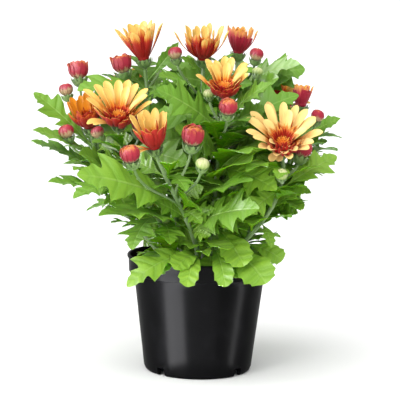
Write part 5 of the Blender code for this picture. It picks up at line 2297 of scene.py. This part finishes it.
@dataclass
class Studio:
    """A pale floor, soft light, and the camera at the photograph's angle.

    The sky's light goes from the horizon's strength to the sky's over the haze. Each strip has its name, how
    far round the pot's wall its band shows, its width and its power in watts.
    """

    distance: float = 1.4
    pitch: float = math.radians(7.5)
    roll: float = math.radians(1.1)
    lens: float = 140.5
    target: Vector = field(default_factory=lambda: spot(-0.5, 0, 153))
    floor_size: float = 160
    floor_drop: float = 0.5 * MM
    sky: float = 0.75
    horizon: float = 1.05
    haze: Pair = (0.02, 0.08)
    strip_height: float = 95 * MM
    strip_gap: float = 18 * MM
    wall_radius: float = 58 * MM
    wall_lean: float = math.radians(8.2)
    strips: tuple[tuple[str, float, float, float], ...] = (
        ("left strip", math.radians(-23), 31 * MM, 1.0),
        ("front strip", math.radians(6), 40 * MM, 0.07),
        ("right strip", math.radians(41), 8 * MM, 0.09),
    )

    def camera(self) -> None:
        """Sets the camera up."""
        data = bpy.data.cameras.new("camera")
        data.lens = self.lens
        data.sensor_width = 36
        data.clip_end = 200
        camera = add_object("camera", data)
        back = Vector((0, -math.cos(self.pitch), math.sin(self.pitch)))
        turn = Matrix.Rotation(math.pi / 2 - self.pitch, 4, "X") @ Matrix.Rotation(self.roll, 4, "Z")
        camera.matrix_world = Matrix.Translation(self.target + back * self.distance) @ turn
        bpy.context.scene.camera = camera

    def light(self, name: str, place: Vector, size: Pair, power: float) -> Piece:
        """Adds a soft rectangular light that faces the plant.

        Args:
            name: the light's name.
            place: where it hangs.
            size: its width and height.
            power: its power in watts.

        Returns:
            The lamp.
        """
        data = bpy.data.lights.new(name, "AREA")
        data.shape = "RECTANGLE"
        data.size, data.size_y = size
        data.energy = power
        lamp = add_object(name, data)
        lamp.location = place
        lamp.rotation_euler = (self.target - place).to_track_quat("-Z", "Y").to_euler()
        return lamp

    def sheen(self, lamp: Piece) -> None:
        """Lets a lamp show as gloss alone."""
        lamp.visible_diffuse = False
        lamp.visible_camera = False

    def strip(self, name: str, turn: float, width: float, power: float) -> None:
        """Stands a bright strip close to the pot, which shows in its wall as an upright band.

        Args:
            name: the strip's name.
            turn: how far round the wall from its nearest side the band shows, to the right if positive.
            width: how wide it is.
            power: its power in watts.
        """
        wall = Matrix.Rotation(turn, 3, "Z") @ Vector((0, -self.wall_radius, 0))
        out = Matrix.Rotation(2 * turn, 3, "Z") @ Vector((0, -1, 0))
        middle = wall + out * self.strip_gap + UP * self.strip_height / 2
        lamp = self.light(name, middle, (width, self.strip_height), power)
        lamp.rotation_euler = (UP * math.tan(self.wall_lean) - out).to_track_quat("-Z", "Y").to_euler()
        self.sheen(lamp)

    def sky_light(self, power: float, source: Vector, spread: float) -> None:
        """Adds one broad light from far away, as from a large soft box.

        Args:
            power: its strength.
            source: the direction it comes from.
            spread: how wide it looks, as an angle.
        """
        data = bpy.data.lights.new("broad", "SUN")
        data.energy = power
        data.angle = spread
        lamp = add_object("broad", data)
        lamp.rotation_euler = source.to_track_quat("Z", "Y").to_euler()

    def build(self) -> None:
        """Builds floor, lights, world and camera."""
        place = (0, 0, -self.floor_drop)
        floor = add_primitive("floor", bpy.ops.mesh.primitive_plane_add, size=self.floor_size, location=place)
        nodes = Nodes("pale floor")
        floor.data.materials.append(nodes.finish((0.92, 0.92, 0.92), 0.9, Specular_IOR_Level=0))
        floor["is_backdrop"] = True
        world = bpy.data.worlds.new("studio")
        world.use_nodes = True
        tree = world.node_tree
        split = tree.nodes.new("ShaderNodeSeparateXYZ")
        fade = tree.nodes.new("ShaderNodeMapRange")
        tree.links.new(tree.nodes.new("ShaderNodeTexCoord").outputs["Generated"], split.inputs[0])
        tree.links.new(split.outputs["Z"], fade.inputs["Value"])
        for socket, value in zip(fade.inputs[1:], (*self.haze, self.horizon, self.sky)):
            socket.default_value = value
        sky = tree.nodes["Background"]
        sky.inputs["Color"].default_value = (1, 1, 1, 1)
        tree.links.new(fade.outputs[0], sky.inputs["Strength"])
        bpy.context.scene.world = world
        self.sky_light(2.5, Vector((-0.35, -0.6, 1.15)), math.radians(65))
        self.light("key", Vector((-0.75, -1.1, 0.5)), (0.35, 1.0), 6)
        self.sheen(self.light("left sheen", Vector((-1.15, -0.5, 0.55)), (0.4, 0.7), 100))
        for name, turn, width, power in self.strips:
            self.strip(name, turn, width, power)
        bpy.context.scene.view_settings.view_transform = "Standard"
        self.camera()


# The whole plant


def bud_flare(bud: Bud) -> float:
    """How far a bud's petals open at their tips: the big ones open, and the small ones stay shut."""
    return 0.32 * (bud.width > 16) + 0.12 * (bud.width > 14)


def main() -> None:
    """Builds the studio and the plant."""
    logging.basicConfig(level=logging.INFO, format="%(message)s")
    Studio().build()
    workshop = Workshop()
    Pot().build()
    Soil(workshop).build()
    number = 0
    for shoot in SHOOTS:
        LeafyStem(shoot, workshop).build()
        Bloom(shoot, workshop).build()
        if shoot.open:
            Disc(shoot, workshop).build()
        stem = main_path(shoot)
        for bud in shoot.buds:
            if bud.red:
                number += 1
                head = bud_head(stem, bud)
                name = f"bud_{number:02d}"
                flare = bud_flare(bud)
                furled = FurledBud(name, head, bud.width, workshop, flare, 0.0 if flare else 0.3)
                hand_in(furled.model(head.seat), name)


if __name__ == "__main__":
    main()
    [[list(corner) for corner in box] for box in (CAD_BOX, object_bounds())]
